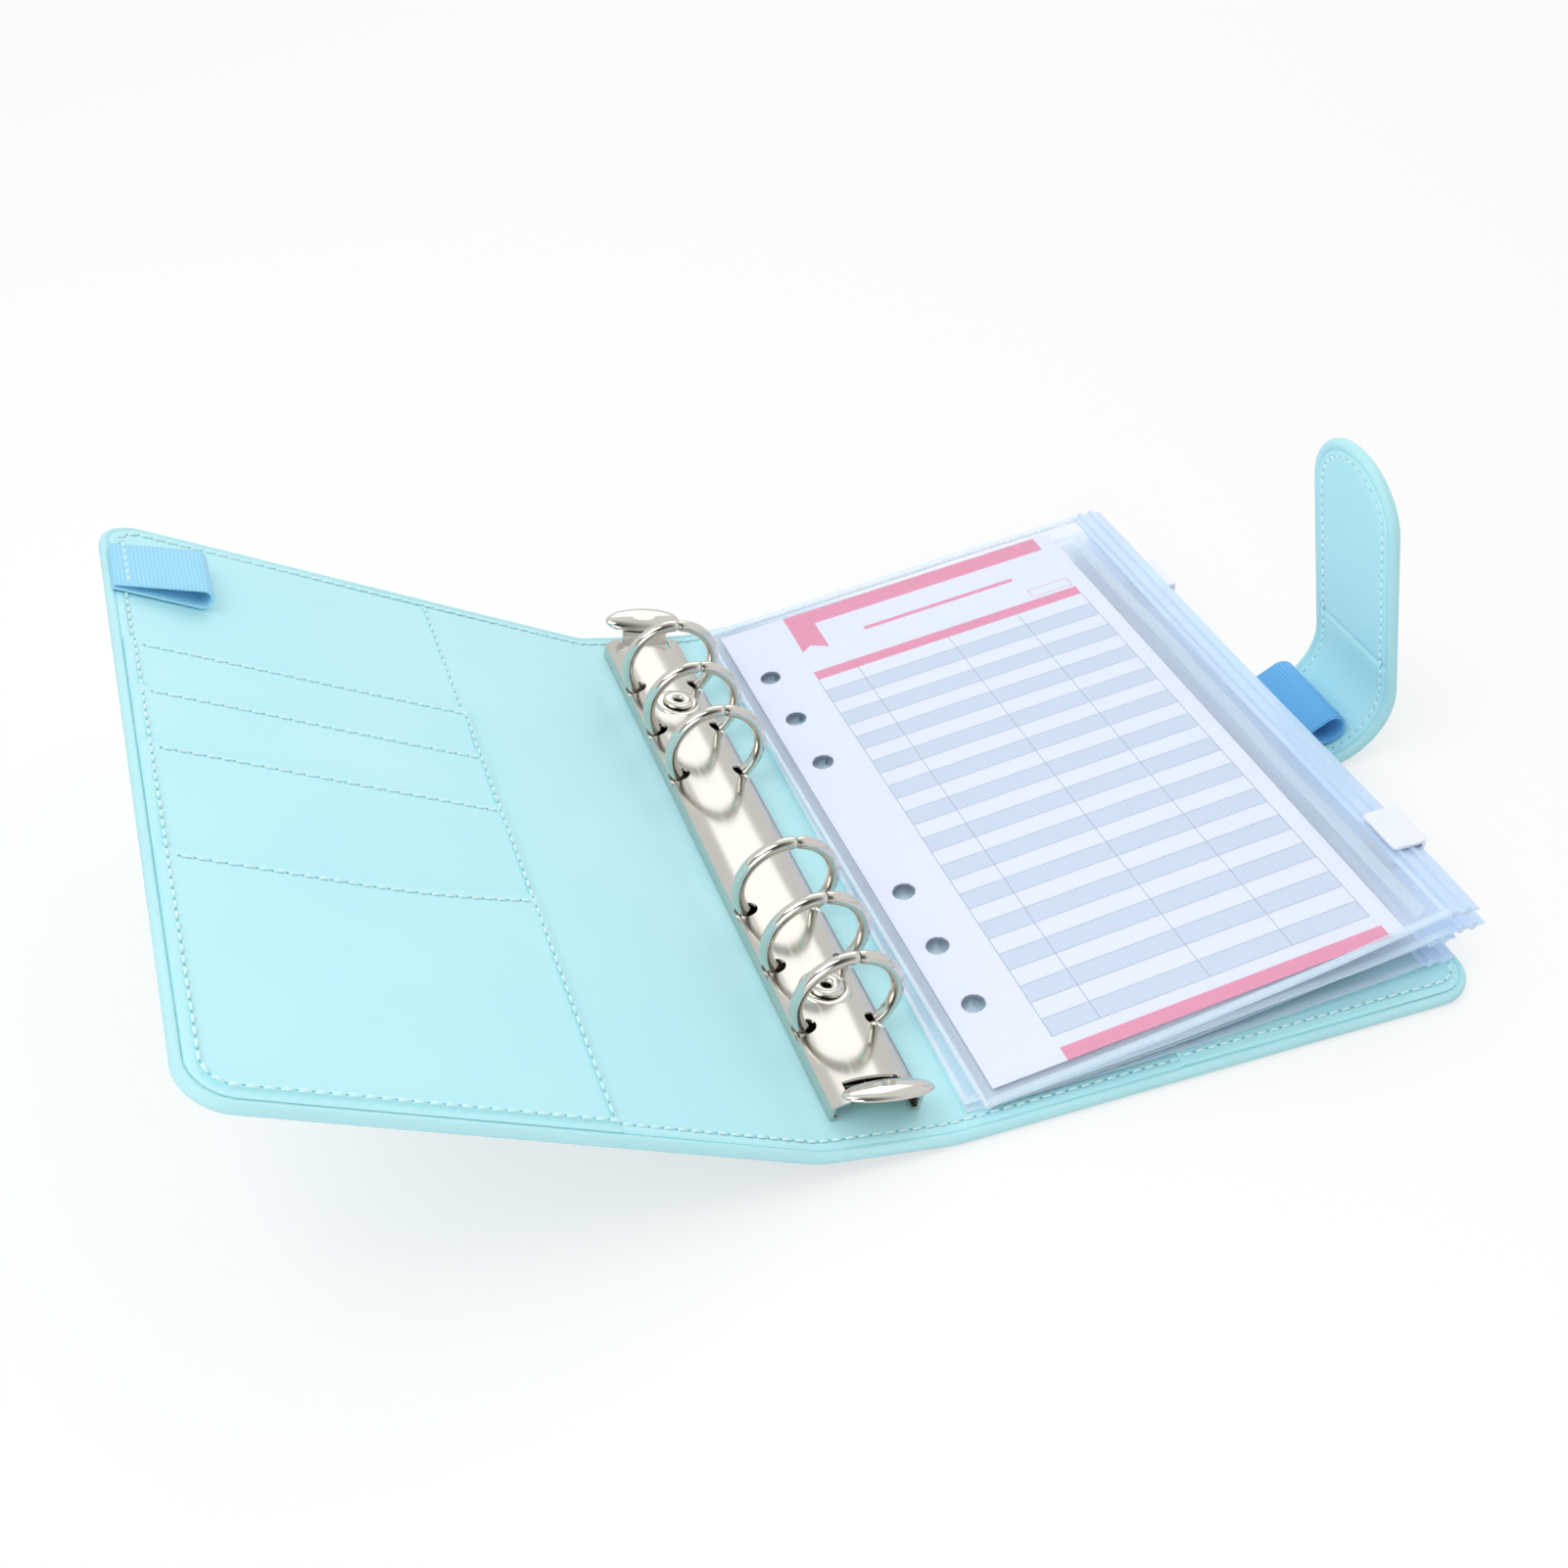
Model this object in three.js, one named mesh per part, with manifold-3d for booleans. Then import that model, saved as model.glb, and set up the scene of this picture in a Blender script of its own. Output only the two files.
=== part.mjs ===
// Six-ring planner cover lying open on a table: back cover flat, spine and front cover raised.
// Millimetres, +Z up. The origin is the middle of the back cover's flat underside.
// +X runs from the spine to the strap, +Y to the far end of the rings.
import * as THREE from 'three';
import { mergeVertices } from 'three/addons/utils/BufferGeometryUtils.js';
import Module from 'manifold-3d';

const wasm = await Module();
wasm.setup();

// Driving dimensions of the cover, which is cut to the sheets that it holds
const sheetWidth = 98.4;
const sheetMargin = 29.6;
const panelWidth = sheetWidth + sheetMargin;
const coverHeight = 190;
const spineWidth = 30;
const cornerRadius = 10;
const layer = 0.8;
const layerGap = 0.3;
const rimWidth = 1;
const edgeGap = 0.4;
const foldGap = 0.25;
const innerFoldGap = 1.6;
const spineTilt = 11.55;
const frontTilt = 16.85;

// Pockets and their seams on the inside of the covers
const pocketThickness = 0.5;
const frontSeam = 45;
const cardDepths = [51.5, 69.3, 89.4];
const cardEdges = cardDepths.map((depth) => coverHeight / 2 - depth);
const slitWidth = 0.5;
const bigPocketHeight = 66;
const bigPocketEdge = bigPocketHeight - coverHeight / 2;
const bigPocketRise = 4;
const bigPocketCurve = 10;
const backPocketEdge = -10.8;
const pocketInset = 0.4;

// Ring mechanism
const plateLength = 172;
const plateWidth = 20.4;
const plateThickness = 0.8;
const plateSide = 3.15;
const plateCrown = 2.6;
const lipWidth = 1;
const lipHeight = 0.65;
const endCutLength = 5.5;
const endCutWidth = 13;
const ringPitch = 19;
const ringMiddleGap = 51;
const wireDiameter = 3;
const ringRadius = 11.4;
const ringCentreHeight = 8.36;
const ringTipGap = 0.3;
const notchWidth = 4.2;
const notchInner = 5.7;
const notchFloor = -0.9;
const toggleThickness = 0.8;
const toggleLevel = -1.2;
const toggleGap = 0.3;
const toggleEnd = 6.5;
const rivetSpan = 108;
const rivetHead = 3.9;
const rivetHeadHeight = 0.9;
const rivetBore = 1.1;
const rivetShank = 1.8;
const rivetClearance = 0.4;
const leverPivotInset = 2.5;
const leverPivot = plateLength / 2 - leverPivotInset;
const leverPivotHeight = 0.5;
const leverThickness = 0.9;
const leverNeck = 12;
const leverInside = 1.9;
const tabLength = 7.6;
const tabWidth = 20.6;
const tabHeight = 5;
const tabTilt = 10;

// Closing strap and pen loops
const strapWidth = 34.5;
const strapCentre = 3;
const strapLayer = 1.2;
const strapFlat = 9.7;
const strapBend = 17;
const strapLean = 12.5;
const strapRise = 7;
const flapLength = 57.5;
const flapFoldGap = 0.45;
const strapInnerFoldGap = 1.9;
const strapInset = 2.2;
const magnetRadius = 6;
const magnetThickness = 0.8;
const magnetFromTip = 18;
const coverMagnetRadius = 8;
const coverMagnetInset = 24;
const elastic = 1.1;
const strapLoopWidth = 26;
const strapLoopRadius = 4.3;
const strapLoopStart = 1.2;
const strapLoopLift = 1.1;
const strapLoopReach = 12.6;
const frontLoopWidth = 18;
const frontLoopRadius = 3.3;
const frontLoopReach = 18;
const frontLoopInset = 23.5;
const frontLoopCentre = coverHeight / 2 - frontLoopInset;

// Loose contents on the back cover
const pouchLength = 180;
const pouchInset = 6.3;
const pouchLeft = pouchInset - panelWidth / 2;
const railInset = 9;
const railLeft = panelWidth / 2 - railInset;
const railWidth = 6;
const railThickness = 2.3;
const lipLength = 1.5;
const film = 0.2;
const filmStep = 0.5;
const firstFilm = 0.3;
const railCentres = [5.3, 7.9, 10.5, 14.35, 19.3];
const pouchTurns = [-0.9, 1.4, -0.4, 0.5, 0.95];
const pouchShifts = [[0, -0.6], [1, 0.8], [-0.8, 1.2], [3.5, -0.4], [0, -0.8]];
const sheetLength = 172.6;
const sheetThickness = 0.25;
const holeInset = 6.25;
const holeLine = 9.6;
const holeRadius = 2.6;
const punchDepth = 30;
const sliderLength = 13;
const sliderWall = 0.9;
const sliderGap = 0.3;
const sliderPlaces = [60, -59];

const thickness = 3 * layer + 2 * layerGap;
const middle = thickness / 2;
const liningTop = middle;
const rad = THREE.MathUtils.degToRad;
const model = new THREE.Group();

function material(color, roughness, metalness = 0, opacity = 1) {
  return new THREE.MeshStandardMaterial({
    color, roughness, metalness, opacity, transparent: opacity < 1,
  });
}

function leather() { return material(0xb9eff4, 0.55); }
function lining() { return material(0xc2f3fa, 0.5); }
function board() { return material(0xb8b2a2, 0.9); }
function nickel() { return material(0xd8d6cf, 0.25, 1); }
function elasticBlue() { return material(0x62b4eb, 0.8); }
function clearFilm() { return material(0xd9ebff, 0.15, 0, 0.35); }
function paper() { return material(0xe8edff, 0.85); }
function white() { return material(0xf2f7ff, 0.4); }

function solid(geometry) {
  const g = geometry.clone();
  g.deleteAttribute('normal');
  g.deleteAttribute('uv');
  const merged = mergeVertices(g, 1e-4);
  return new wasm.Manifold(new wasm.Mesh({
    numProp: 3,
    vertProperties: new Float32Array(merged.attributes.position.array),
    triVerts: new Uint32Array(merged.index.array),
  }));
}

function geometryOf(manifold) {
  const m = manifold.getMesh();
  const g = new THREE.BufferGeometry();
  g.setAttribute('position', new THREE.BufferAttribute(new Float32Array(m.vertProperties), 3));
  g.setIndex(new THREE.BufferAttribute(new Uint32Array(m.triVerts), 1));
  g.computeVertexNormals();
  return g;
}

function place(parent, name, geometry, finish) {
  const mesh = new THREE.Mesh(geometry, finish);
  mesh.name = name;
  parent.add(mesh);
  return mesh;
}

// A plate: an outline in X and Y, standing from z0 to z1
function slab(shape, z0, z1, curveSegments = 8) {
  const g = new THREE.ExtrudeGeometry(shape, { depth: z1 - z0, bevelEnabled: false, curveSegments });
  return g.translate(0, 0, z0);
}

// A bar: an outline in X and Z, running along Y from y0 to y1
function bar(shape, y0, y1, curveSegments = 8) {
  const g = new THREE.ExtrudeGeometry(shape, { depth: y1 - y0, bevelEnabled: false, curveSegments });
  return g.rotateX(Math.PI / 2).translate(0, y1, 0);
}

function box(x0, x1, y0, y1, z0, z1) {
  const g = new THREE.BoxGeometry(x1 - x0, y1 - y0, z1 - z0);
  return g.translate((x0 + x1) / 2, (y0 + y1) / 2, (z0 + z1) / 2);
}

function disc(x, y, z0, z1, radius, segments = 24) {
  const g = new THREE.CylinderGeometry(radius, radius, z1 - z0, segments);
  return g.rotateX(Math.PI / 2).translate(x, y, (z0 + z1) / 2);
}

function polygon(points) {
  const shape = new THREE.Shape();
  points.forEach(([x, y], i) => (i ? shape.lineTo(x, y) : shape.moveTo(x, y)));
  shape.closePath();
  return shape;
}

// A panel outline from x0 at the fold to x1 at the free edge, both outer corners round
function panelOutline(x0, x1, halfHeight, radius) {
  const side = Math.sign(x1 - x0);
  const shape = new THREE.Shape();
  const start = side > 0 ? -Math.PI / 2 : Math.PI * 1.5;
  shape.moveTo(x0, -halfHeight);
  shape.lineTo(x1 - side * radius, -halfHeight);
  shape.absarc(x1 - side * radius, -halfHeight + radius, radius, start, side > 0 ? 0 : Math.PI, side < 0);
  shape.absarc(x1 - side * radius, halfHeight - radius, radius, side > 0 ? 0 : Math.PI, Math.PI / 2, side < 0);
  shape.lineTo(x0, halfHeight);
  shape.closePath();
  return shape;
}

function rectangle(x0, x1, halfHeight) {
  return polygon([[x0, -halfHeight], [x1, -halfHeight], [x1, halfHeight], [x0, halfHeight]]);
}

// The outer skin of a panel: a thin tray whose rolled rim stands round the free edges
function skinTray(outline, openStart, openEnd) {
  const half = coverHeight / 2;
  const base = solid(slab(outline(foldGap, 0, half), -middle, -middle + layer));
  const rim = solid(slab(outline(innerFoldGap, 0, half), -middle, middle));
  const well = solid(slab(outline(-1, rimWidth, half - rimWidth), -middle + layer, middle + 1));
  const room = solid(box(openStart, openEnd, -half, half, -middle, middle + 1));
  return geometryOf(base.add(rim.subtract(well).intersect(room)));
}

// One cover panel running in direction side from its fold at the local origin
function coverPanel(parent, name, side, cuts = []) {
  const outline = (fold, inset, half) => panelOutline(
    side * fold, side * (panelWidth - inset), half, cornerRadius - inset);
  const inner = rimWidth + edgeGap;
  const half = coverHeight / 2 - inner;
  const open = [side * innerFoldGap, side * (panelWidth + 1)].sort((a, b) => a - b);
  place(parent, `${name}_skin`, skinTray(outline, open[0], open[1]), leather());
  const core = slab(outline(innerFoldGap, inner, half), -layer / 2, layer / 2);
  place(parent, `${name}_board`, cuts.length ? cutBy(core, cuts) : core, board());
  const inside = slab(outline(innerFoldGap, inner, half), liningTop - layer, liningTop);
  place(parent, `${name}_lining`, inside, lining());
}

function cutBy(geometry, cutters) {
  let body = solid(geometry);
  for (const cutter of cutters) {
    body = body.subtract(solid(cutter));
  }
  return geometryOf(body);
}

function backCover() {
  const group = new THREE.Group();
  group.position.set(-panelWidth / 2, 0, middle);
  coverPanel(group, 'back_cover', 1);
  const inset = rimWidth + edgeGap + pocketInset;
  const outline = panelOutline(
    panelWidth / 2 + backPocketEdge, panelWidth - inset, coverHeight / 2 - inset, cornerRadius - inset);
  const level = liningTop + layerGap;
  place(group, 'back_pocket', slab(outline, level, level + pocketThickness), lining());
  model.add(group);
}

function frontPockets(group) {
  const inset = rimWidth + edgeGap + pocketInset;
  const outer = panelWidth - inset;
  const half = coverHeight / 2 - inset;
  const level = liningTop + layerGap;
  const top = level + pocketThickness;
  const lower = [...cardEdges.slice(1).map((y) => y + slitWidth), null];
  cardEdges.forEach((edge, i) => {
    let shape = rectangle(-outer, -frontSeam, 0);
    if (lower[i] !== null) {
      shape = polygon([[-outer, lower[i]], [-frontSeam, lower[i]], [-frontSeam, edge], [-outer, edge]]);
    } else {
      shape = new THREE.Shape();
      const y = bigPocketEdge + slitWidth;
      shape.moveTo(-outer, edge);
      shape.lineTo(-outer, y);
      shape.lineTo(-frontSeam - (outer - frontSeam) / 2, y);
      shape.quadraticCurveTo(-frontSeam - bigPocketCurve, y, -frontSeam, y + bigPocketRise);
      shape.lineTo(-frontSeam, edge);
      shape.closePath();
    }
    place(group, `card_pocket_${i + 1}`, slab(shape, level, top), lining());
  });
  const big = new THREE.Shape();
  const r = cornerRadius - inset;
  big.moveTo(-frontSeam, -half);
  big.lineTo(-frontSeam, bigPocketEdge + bigPocketRise);
  big.quadraticCurveTo(-frontSeam - bigPocketCurve, bigPocketEdge, -frontSeam - (outer - frontSeam) / 2, bigPocketEdge);
  big.lineTo(-outer, bigPocketEdge);
  big.lineTo(-outer, -half + r);
  big.absarc(-outer + r, -half + r, r, Math.PI, Math.PI * 1.5, false);
  big.closePath();
  place(group, 'big_pocket', slab(big, level, top), lining());
}

// A band of elastic sewn at its narrow end and round at the other, pointing along side
function penLoop(reach, radius, width, side) {
  const slope = Math.atan2(radius, reach);
  const outline = (inset, target) => {
    const r = radius - inset;
    const start = -Math.PI / 2;
    target.moveTo(side * inset * 2, inset);
    target.lineTo(side * reach, inset);
    target.absarc(side * reach, radius, r, start, Math.PI / 2 + side * slope, side < 0);
    target.lineTo(side * inset * 2, inset === 0 ? 2 * elastic + 0.4 : elastic + 0.3);
    target.closePath();
    return target;
  };
  const shape = outline(0, new THREE.Shape());
  shape.holes.push(outline(elastic, new THREE.Path()));
  return bar(shape, -width / 2, width / 2, 12);
}

function frontCover(spine) {
  const group = new THREE.Group();
  group.position.set(-spineWidth, 0, 0);
  group.rotation.y = rad(frontTilt);
  const magnetX = -(panelWidth - coverMagnetInset);
  const pit = disc(magnetX, strapCentre, -layer, layer, coverMagnetRadius + layerGap);
  coverPanel(group, 'front_cover', -1, [pit]);
  frontPockets(group);
  const magnet = disc(magnetX, strapCentre, -layer / 2, layer / 2, coverMagnetRadius);
  place(group, 'cover_magnet', magnet, nickel());
  const loop = penLoop(frontLoopReach, frontLoopRadius, frontLoopWidth, 1);
  loop.translate(-(panelWidth - rimWidth - edgeGap - pocketInset), frontLoopCentre, liningTop + layerGap);
  place(group, 'pen_loop_front', loop, elasticBlue());
  spine.add(group);
}

const ringPlaces = [];
for (const end of [1, -1]) {
  for (let i = 0; i < 3; i += 1) {
    const step = end > 0 ? 2 - i : i;
    ringPlaces.push(end * (ringMiddleGap / 2 + step * ringPitch));
  }
}
const rivetPlaces = [rivetSpan / 2, -rivetSpan / 2];

function spinePanel(group) {
  const half = coverHeight / 2;
  const inner = half - rimWidth - edgeGap;
  const a = -spineWidth;
  const base = solid(slab(rectangle(a + foldGap, -foldGap, half), -middle, -middle + layer));
  const rim = solid(slab(rectangle(a + innerFoldGap, -innerFoldGap, half), -middle, middle));
  const well = solid(slab(rectangle(a - 1, 1, half - rimWidth), -middle + layer, middle + 1));
  place(group, 'spine_skin', geometryOf(base.add(rim.subtract(well))), leather());
  const holes = (z0, z1) => rivetPlaces.map(
    (y) => disc(a / 2, y, z0, z1, rivetShank + rivetClearance, 16));
  const core = slab(rectangle(a + innerFoldGap, -innerFoldGap, inner), -layer / 2, layer / 2);
  place(group, 'spine_board', cutBy(core, holes(-1, 1)), board());
  const inside = slab(rectangle(a + innerFoldGap, -innerFoldGap, inner), liningTop - layer, liningTop);
  place(group, 'spine_lining', cutBy(inside, holes(0, 2)), lining());
}

// The arched housing, with lips along its sides and a notch for each wire
function basePlate(group) {
  const w = plateWidth / 2;
  const t = plateThickness;
  const rise = plateCrown;
  const arch = (halfWidth, height) => {
    const radius = (halfWidth * halfWidth + height * height) / (2 * height);
    return { radius, angle: Math.asin(halfWidth / radius) };
  };
  const outer = arch(w, rise);
  const inner = arch(w - t, rise - t);
  const shape = new THREE.Shape();
  shape.moveTo(w, -plateSide);
  shape.lineTo(w, 0);
  shape.absarc(0, rise - outer.radius, outer.radius, Math.PI / 2 - outer.angle, Math.PI / 2 + outer.angle, false);
  shape.lineTo(-w, -plateSide);
  shape.lineTo(-w + t + lipWidth, -plateSide);
  shape.lineTo(-w + t + lipWidth, -plateSide + lipHeight);
  shape.lineTo(-w + t, -plateSide + lipHeight);
  shape.lineTo(-w + t, 0);
  shape.absarc(0, rise - t - inner.radius, inner.radius,
    Math.PI / 2 + inner.angle, Math.PI / 2 - inner.angle, true);
  shape.lineTo(w - t, -plateSide + lipHeight);
  shape.lineTo(w - t - lipWidth, -plateSide + lipHeight);
  shape.lineTo(w - t - lipWidth, -plateSide);
  shape.closePath();
  const half = plateLength / 2;
  const cutters = [];
  for (const y of ringPlaces) {
    for (const side of [1, -1]) {
      const a = Math.min(side * (notchInner + notchWidth / 2), side * (w + 1));
      const b = Math.max(side * (notchInner + notchWidth / 2), side * (w + 1));
      cutters.push(box(a, b, y - notchWidth / 2, y + notchWidth / 2, notchFloor, rise + 1));
      cutters.push(disc(side * (notchInner + notchWidth / 2), y, notchFloor, rise + 1, notchWidth / 2, 20));
    }
  }
  for (const y of rivetPlaces) {
    cutters.push(disc(0, y, 0, rise + 1, rivetShank + rivetClearance, 16));
  }
  for (const end of [1, -1]) {
    const a = Math.min(end * (half - endCutLength), end * (half + 1));
    const b = Math.max(end * (half - endCutLength), end * (half + 1));
    cutters.push(box(-endCutWidth / 2, endCutWidth / 2, a, b, -plateSide - 1, rise + 1));
  }
  const plate = cutBy(bar(shape, -half, half, 10), cutters);
  place(group, 'ring_base_plate', plate, nickel());
}

// An eyelet rivet: a domed head on the arch and a hollow shank down to the spine board
function rivet(group, name, y) {
  const seat = plateCrown + layerGap;
  const foot = -plateSide - layerGap - layer - layerGap;
  const profile = [
    [rivetBore, foot], [rivetShank, foot], [rivetShank, seat], [rivetHead, seat],
    [rivetHead - 0.3, seat + rivetHeadHeight * 0.6], [rivetShank + 0.5, seat + rivetHeadHeight],
    [rivetBore + 0.2, seat + rivetHeadHeight], [rivetBore, seat + rivetHeadHeight * 0.6],
    [rivetBore, foot],
  ].map(([r, z]) => new THREE.Vector2(r, z));
  const g = new THREE.LatheGeometry(profile, 20);
  place(group, name, geometryOf(solid(g.rotateX(Math.PI / 2))).translate(0, y, 0), nickel());
}

// One wire half: from the tip over the plate, round the outside, to its foot on the toggle plate
function halfRing(side) {
  const foot = toggleLevel + toggleThickness / 2 + layerGap + wireDiameter / 2;
  const start = Math.asin(ringTipGap / 2 / ringRadius);
  const end = Math.PI - Math.acos((ringCentreHeight - foot) / ringRadius);
  const steps = 22;
  const curve = new THREE.CatmullRomCurve3([...Array(steps + 1).keys()].map((i) => {
    const a = start + (end - start) * i / steps;
    return new THREE.Vector3(
      side * ringRadius * Math.sin(a), 0, ringCentreHeight + ringRadius * Math.cos(a));
  }));
  const section = new THREE.Shape();
  section.absarc(0, 0, wireDiameter / 2, 0, Math.PI * 2, false);
  return new THREE.ExtrudeGeometry(section, { steps, bevelEnabled: false, extrudePath: curve, curveSegments: 5 });
}

function togglePlate(side) {
  const outer = plateWidth / 2 - plateThickness - toggleGap;
  const half = plateLength / 2 - toggleEnd;
  const xs = [side * toggleGap / 2, side * outer].sort((a, b) => a - b);
  const z0 = toggleLevel - toggleThickness / 2;
  const plate = box(xs[0], xs[1], -half, half, z0, z0 + toggleThickness);
  const gaps = rivetPlaces.map((y) => disc(0, y, z0 - 1, z0 + 2, rivetShank + 3 * rivetClearance, 16));
  return cutBy(plate, gaps);
}

function jaw(group, name, side) {
  place(group, `toggle_plate_${name}`, togglePlate(side), nickel());
  ringPlaces.forEach((y, i) => {
    place(group, `ring_${name}_${i + 1}`, halfRing(side), nickel()).position.set(0, y, 0);
  });
}

// The opening lever at one end: a neck between the plate's lugs and a half-moon thumb tab
function lever(group, name, end) {
  const t = leverThickness / 2;
  const inside = leverPivot - leverInside;
  const tabStart = leverPivot + 1.6;
  const low = leverPivotHeight - 0.9;
  const line = [[inside, low], [leverPivot, low + 0.5], [tabStart + 0.9, tabHeight + 0.2]];
  const neck = polygon([
    [line[0][0], line[0][1] - t], [line[1][0] + t, line[1][1] - t], [line[2][0] + t, line[2][1]],
    [line[2][0] - t, line[2][1]], [line[1][0] - t, line[1][1] + t], [line[0][0], line[0][1] + t],
  ]);
  const strip = new THREE.ExtrudeGeometry(neck, { depth: leverNeck, bevelEnabled: false });
  strip.rotateX(Math.PI / 2).rotateZ(Math.PI / 2).translate(-leverNeck / 2, 0, 0);
  const moon = new THREE.Shape();
  moon.absellipse(0, 0, tabWidth / 2, tabLength / 2, 0, Math.PI * 2, false);
  const tab = slab(moon, -t, t, 16);
  tab.rotateX(rad(tabTilt)).translate(0, tabStart + tabLength / 2, tabHeight + 0.8);
  let g = geometryOf(solid(strip).add(solid(tab)));
  if (end < 0) {
    g = g.rotateZ(Math.PI);
  }
  place(group, name, g, nickel());
}

function spine() {
  const group = new THREE.Group();
  group.position.set(-panelWidth / 2, 0, middle);
  group.rotation.y = rad(spineTilt);
  spinePanel(group);
  const rings = new THREE.Group();
  rings.position.set(-spineWidth / 2, 0, liningTop + layerGap + plateSide);
  basePlate(rings);
  rivet(rings, 'rivet_top', rivetPlaces[0]);
  rivet(rings, 'rivet_bottom', rivetPlaces[1]);
  jaw(rings, 'left', -1);
  jaw(rings, 'right', 1);
  lever(rings, 'lever_top', 1);
  lever(rings, 'lever_bottom', -1);
  group.add(rings);
  frontCover(group);
  model.add(group);
}

// The strap's outer layer lies flat from the cover's edge and then curls up
function strapPoint(s, offset) {
  const turn = Math.PI / 2 + rad(strapLean);
  const arcLength = strapBend * turn;
  const x0 = panelWidth / 2 + layerGap;
  const z0 = strapLayer / 2;
  let x = x0 + s;
  let z = z0;
  let heading = 0;
  if (s > strapFlat) {
    heading = Math.min((s - strapFlat) / strapBend, turn);
    x = x0 + strapFlat + strapBend * Math.sin(heading);
    z = z0 + strapBend * (1 - Math.cos(heading));
    const rest = Math.max(0, s - strapFlat - arcLength);
    x += rest * Math.cos(heading);
    z += rest * Math.sin(heading);
  }
  return [x - offset * Math.sin(heading), z + offset * Math.cos(heading)];
}

function strapStation() {
  return strapFlat + strapBend * (Math.PI / 2 + rad(strapLean)) + strapRise;
}

// A curved strip of the strap's root between two offsets from the outer layer's middle
function rootStrip(s0, s1, low, high, width) {
  const arcEnd = strapStation() - strapRise;
  const stops = [s0, strapFlat];
  for (let i = 1; i < 14; i += 1) {
    stops.push(strapFlat + (arcEnd - strapFlat) * i / 14);
  }
  stops.push(arcEnd, s1);
  const under = stops.map((s) => strapPoint(s, low));
  const over = stops.map((s) => strapPoint(s, high)).reverse();
  return bar(polygon([...under, ...over]), strapCentre - width / 2, strapCentre + width / 2);
}

function strap() {
  const t = strapLayer / 2;
  const end = strapStation();
  const outer = rootStrip(0, end - flapFoldGap, -t, t, strapWidth);
  place(model, 'strap_root_outer', outer, leather());
  const low = t + layerGap;
  const width = strapWidth - 2 * strapInset;
  const inner = rootStrip(0, end - strapInnerFoldGap, low, low + strapLayer, width);
  place(model, 'strap_root_inner', inner, lining());

  const flap = new THREE.Group();
  const [x, z] = strapPoint(end, 0);
  flap.position.set(x, strapCentre, z);
  flap.rotation.y = -(Math.PI / 2 + rad(strapLean));
  const recess = (magnetThickness + layerGap) / 2;
  const mid = t + layerGap / 2;
  const centre = flapLength - magnetFromTip;
  const pit = disc(centre, 0, mid - recess, mid + recess, magnetRadius + layerGap, 20);
  const outlineOf = (start, inset) => panelOutline(
    start, flapLength - inset, strapWidth / 2 - inset, strapWidth / 2 - inset - 0.01);
  place(flap, 'strap_flap_outer', cutBy(slab(outlineOf(flapFoldGap, 0), -t, t, 12), [pit]), leather());
  const cover = slab(outlineOf(strapInnerFoldGap, strapInset), low, low + strapLayer, 12);
  place(flap, 'strap_flap_inner', cutBy(cover, [pit]), lining());
  const half = magnetThickness / 2;
  const magnet = disc(centre, 0, mid - half, mid + half, magnetRadius, 20);
  place(flap, 'strap_magnet', magnet, nickel());
  model.add(flap);

  const loop = penLoop(strapLoopReach, strapLoopRadius, strapLoopWidth, 1);
  const seat = 2 * strapLayer + 2 * layerGap + strapLoopLift;
  loop.translate(panelWidth / 2 + strapLoopStart, strapCentre + 1, seat);
  place(model, 'pen_loop_strap', loop, elasticBlue());
}

// The film of a pouch rises evenly from its left edge to the closing rail
function pouchLine(index) {
  const low = thickness + firstFilm + filmStep * index;
  const high = railCentres[index] - film / 2;
  return (x) => low + (high - low) * (x - pouchLeft) / (railLeft - pouchLeft);
}

function pouchOutline(index, depth) {
  const z = pouchLine(index);
  const rail = railCentres[index];
  const h = railThickness / 2;
  const railRight = railLeft + railWidth;
  const right = railRight + lipLength;
  return polygon([
    [pouchLeft, z(pouchLeft)], [railLeft, z(railLeft)], [railLeft, rail - h], [railRight, rail - h],
    [railRight, rail - film / 2], [right, rail - film / 2], [right, rail + film / 2],
    [railRight, rail + film / 2], [railRight, rail + h], [railLeft, rail + h],
    [railLeft, z(railLeft) + depth], [pouchLeft, z(pouchLeft) + depth],
  ]);
}

function punches(x) {
  return ringPlaces.map((y) => disc(x, y, 0, punchDepth, holeRadius, 12));
}

function turned(geometry, index) {
  const [dx, dy] = pouchShifts[index];
  return geometry.rotateZ(rad(pouchTurns[index])).translate(dx, dy, 0);
}

function pouches() {
  const half = pouchLength / 2;
  const holes = punches(pouchLeft + holeLine);
  railCentres.forEach((rail, i) => {
    const top = i === railCentres.length - 1;
    const depth = top ? 2 * film + 2 * layerGap + sheetThickness : film;
    let g = bar(pouchOutline(i, depth), -half, half);
    if (top) {
      const z = pouchLine(i);
      const x0 = pouchLeft + 2;
      const x1 = railLeft - 2;
      const room = polygon([
        [x0, z(x0) + film], [x1, z(x1) + film],
        [x1, z(x1) + depth - film], [x0, z(x0) + depth - film],
      ]);
      g = cutBy(g, [bar(room, -half - 1, half + 1)]);
    }
    place(model, `pouch_${i + 1}`, turned(cutBy(g, holes), i), clearFilm());
  });
}

function plannerSheet() {
  const i = railCentres.length - 1;
  const z = pouchLine(i);
  const x0 = pouchLeft + holeLine - holeInset;
  const x1 = x0 + sheetWidth;
  const low = film + layerGap;
  const shape = polygon([
    [x0, z(x0) + low], [x1, z(x1) + low],
    [x1, z(x1) + low + sheetThickness], [x0, z(x0) + low + sheetThickness],
  ]);
  const g = cutBy(bar(shape, -sheetLength / 2, sheetLength / 2), punches(pouchLeft + holeLine));
  place(model, 'planner_sheet', turned(g, i), paper());
}

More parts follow.
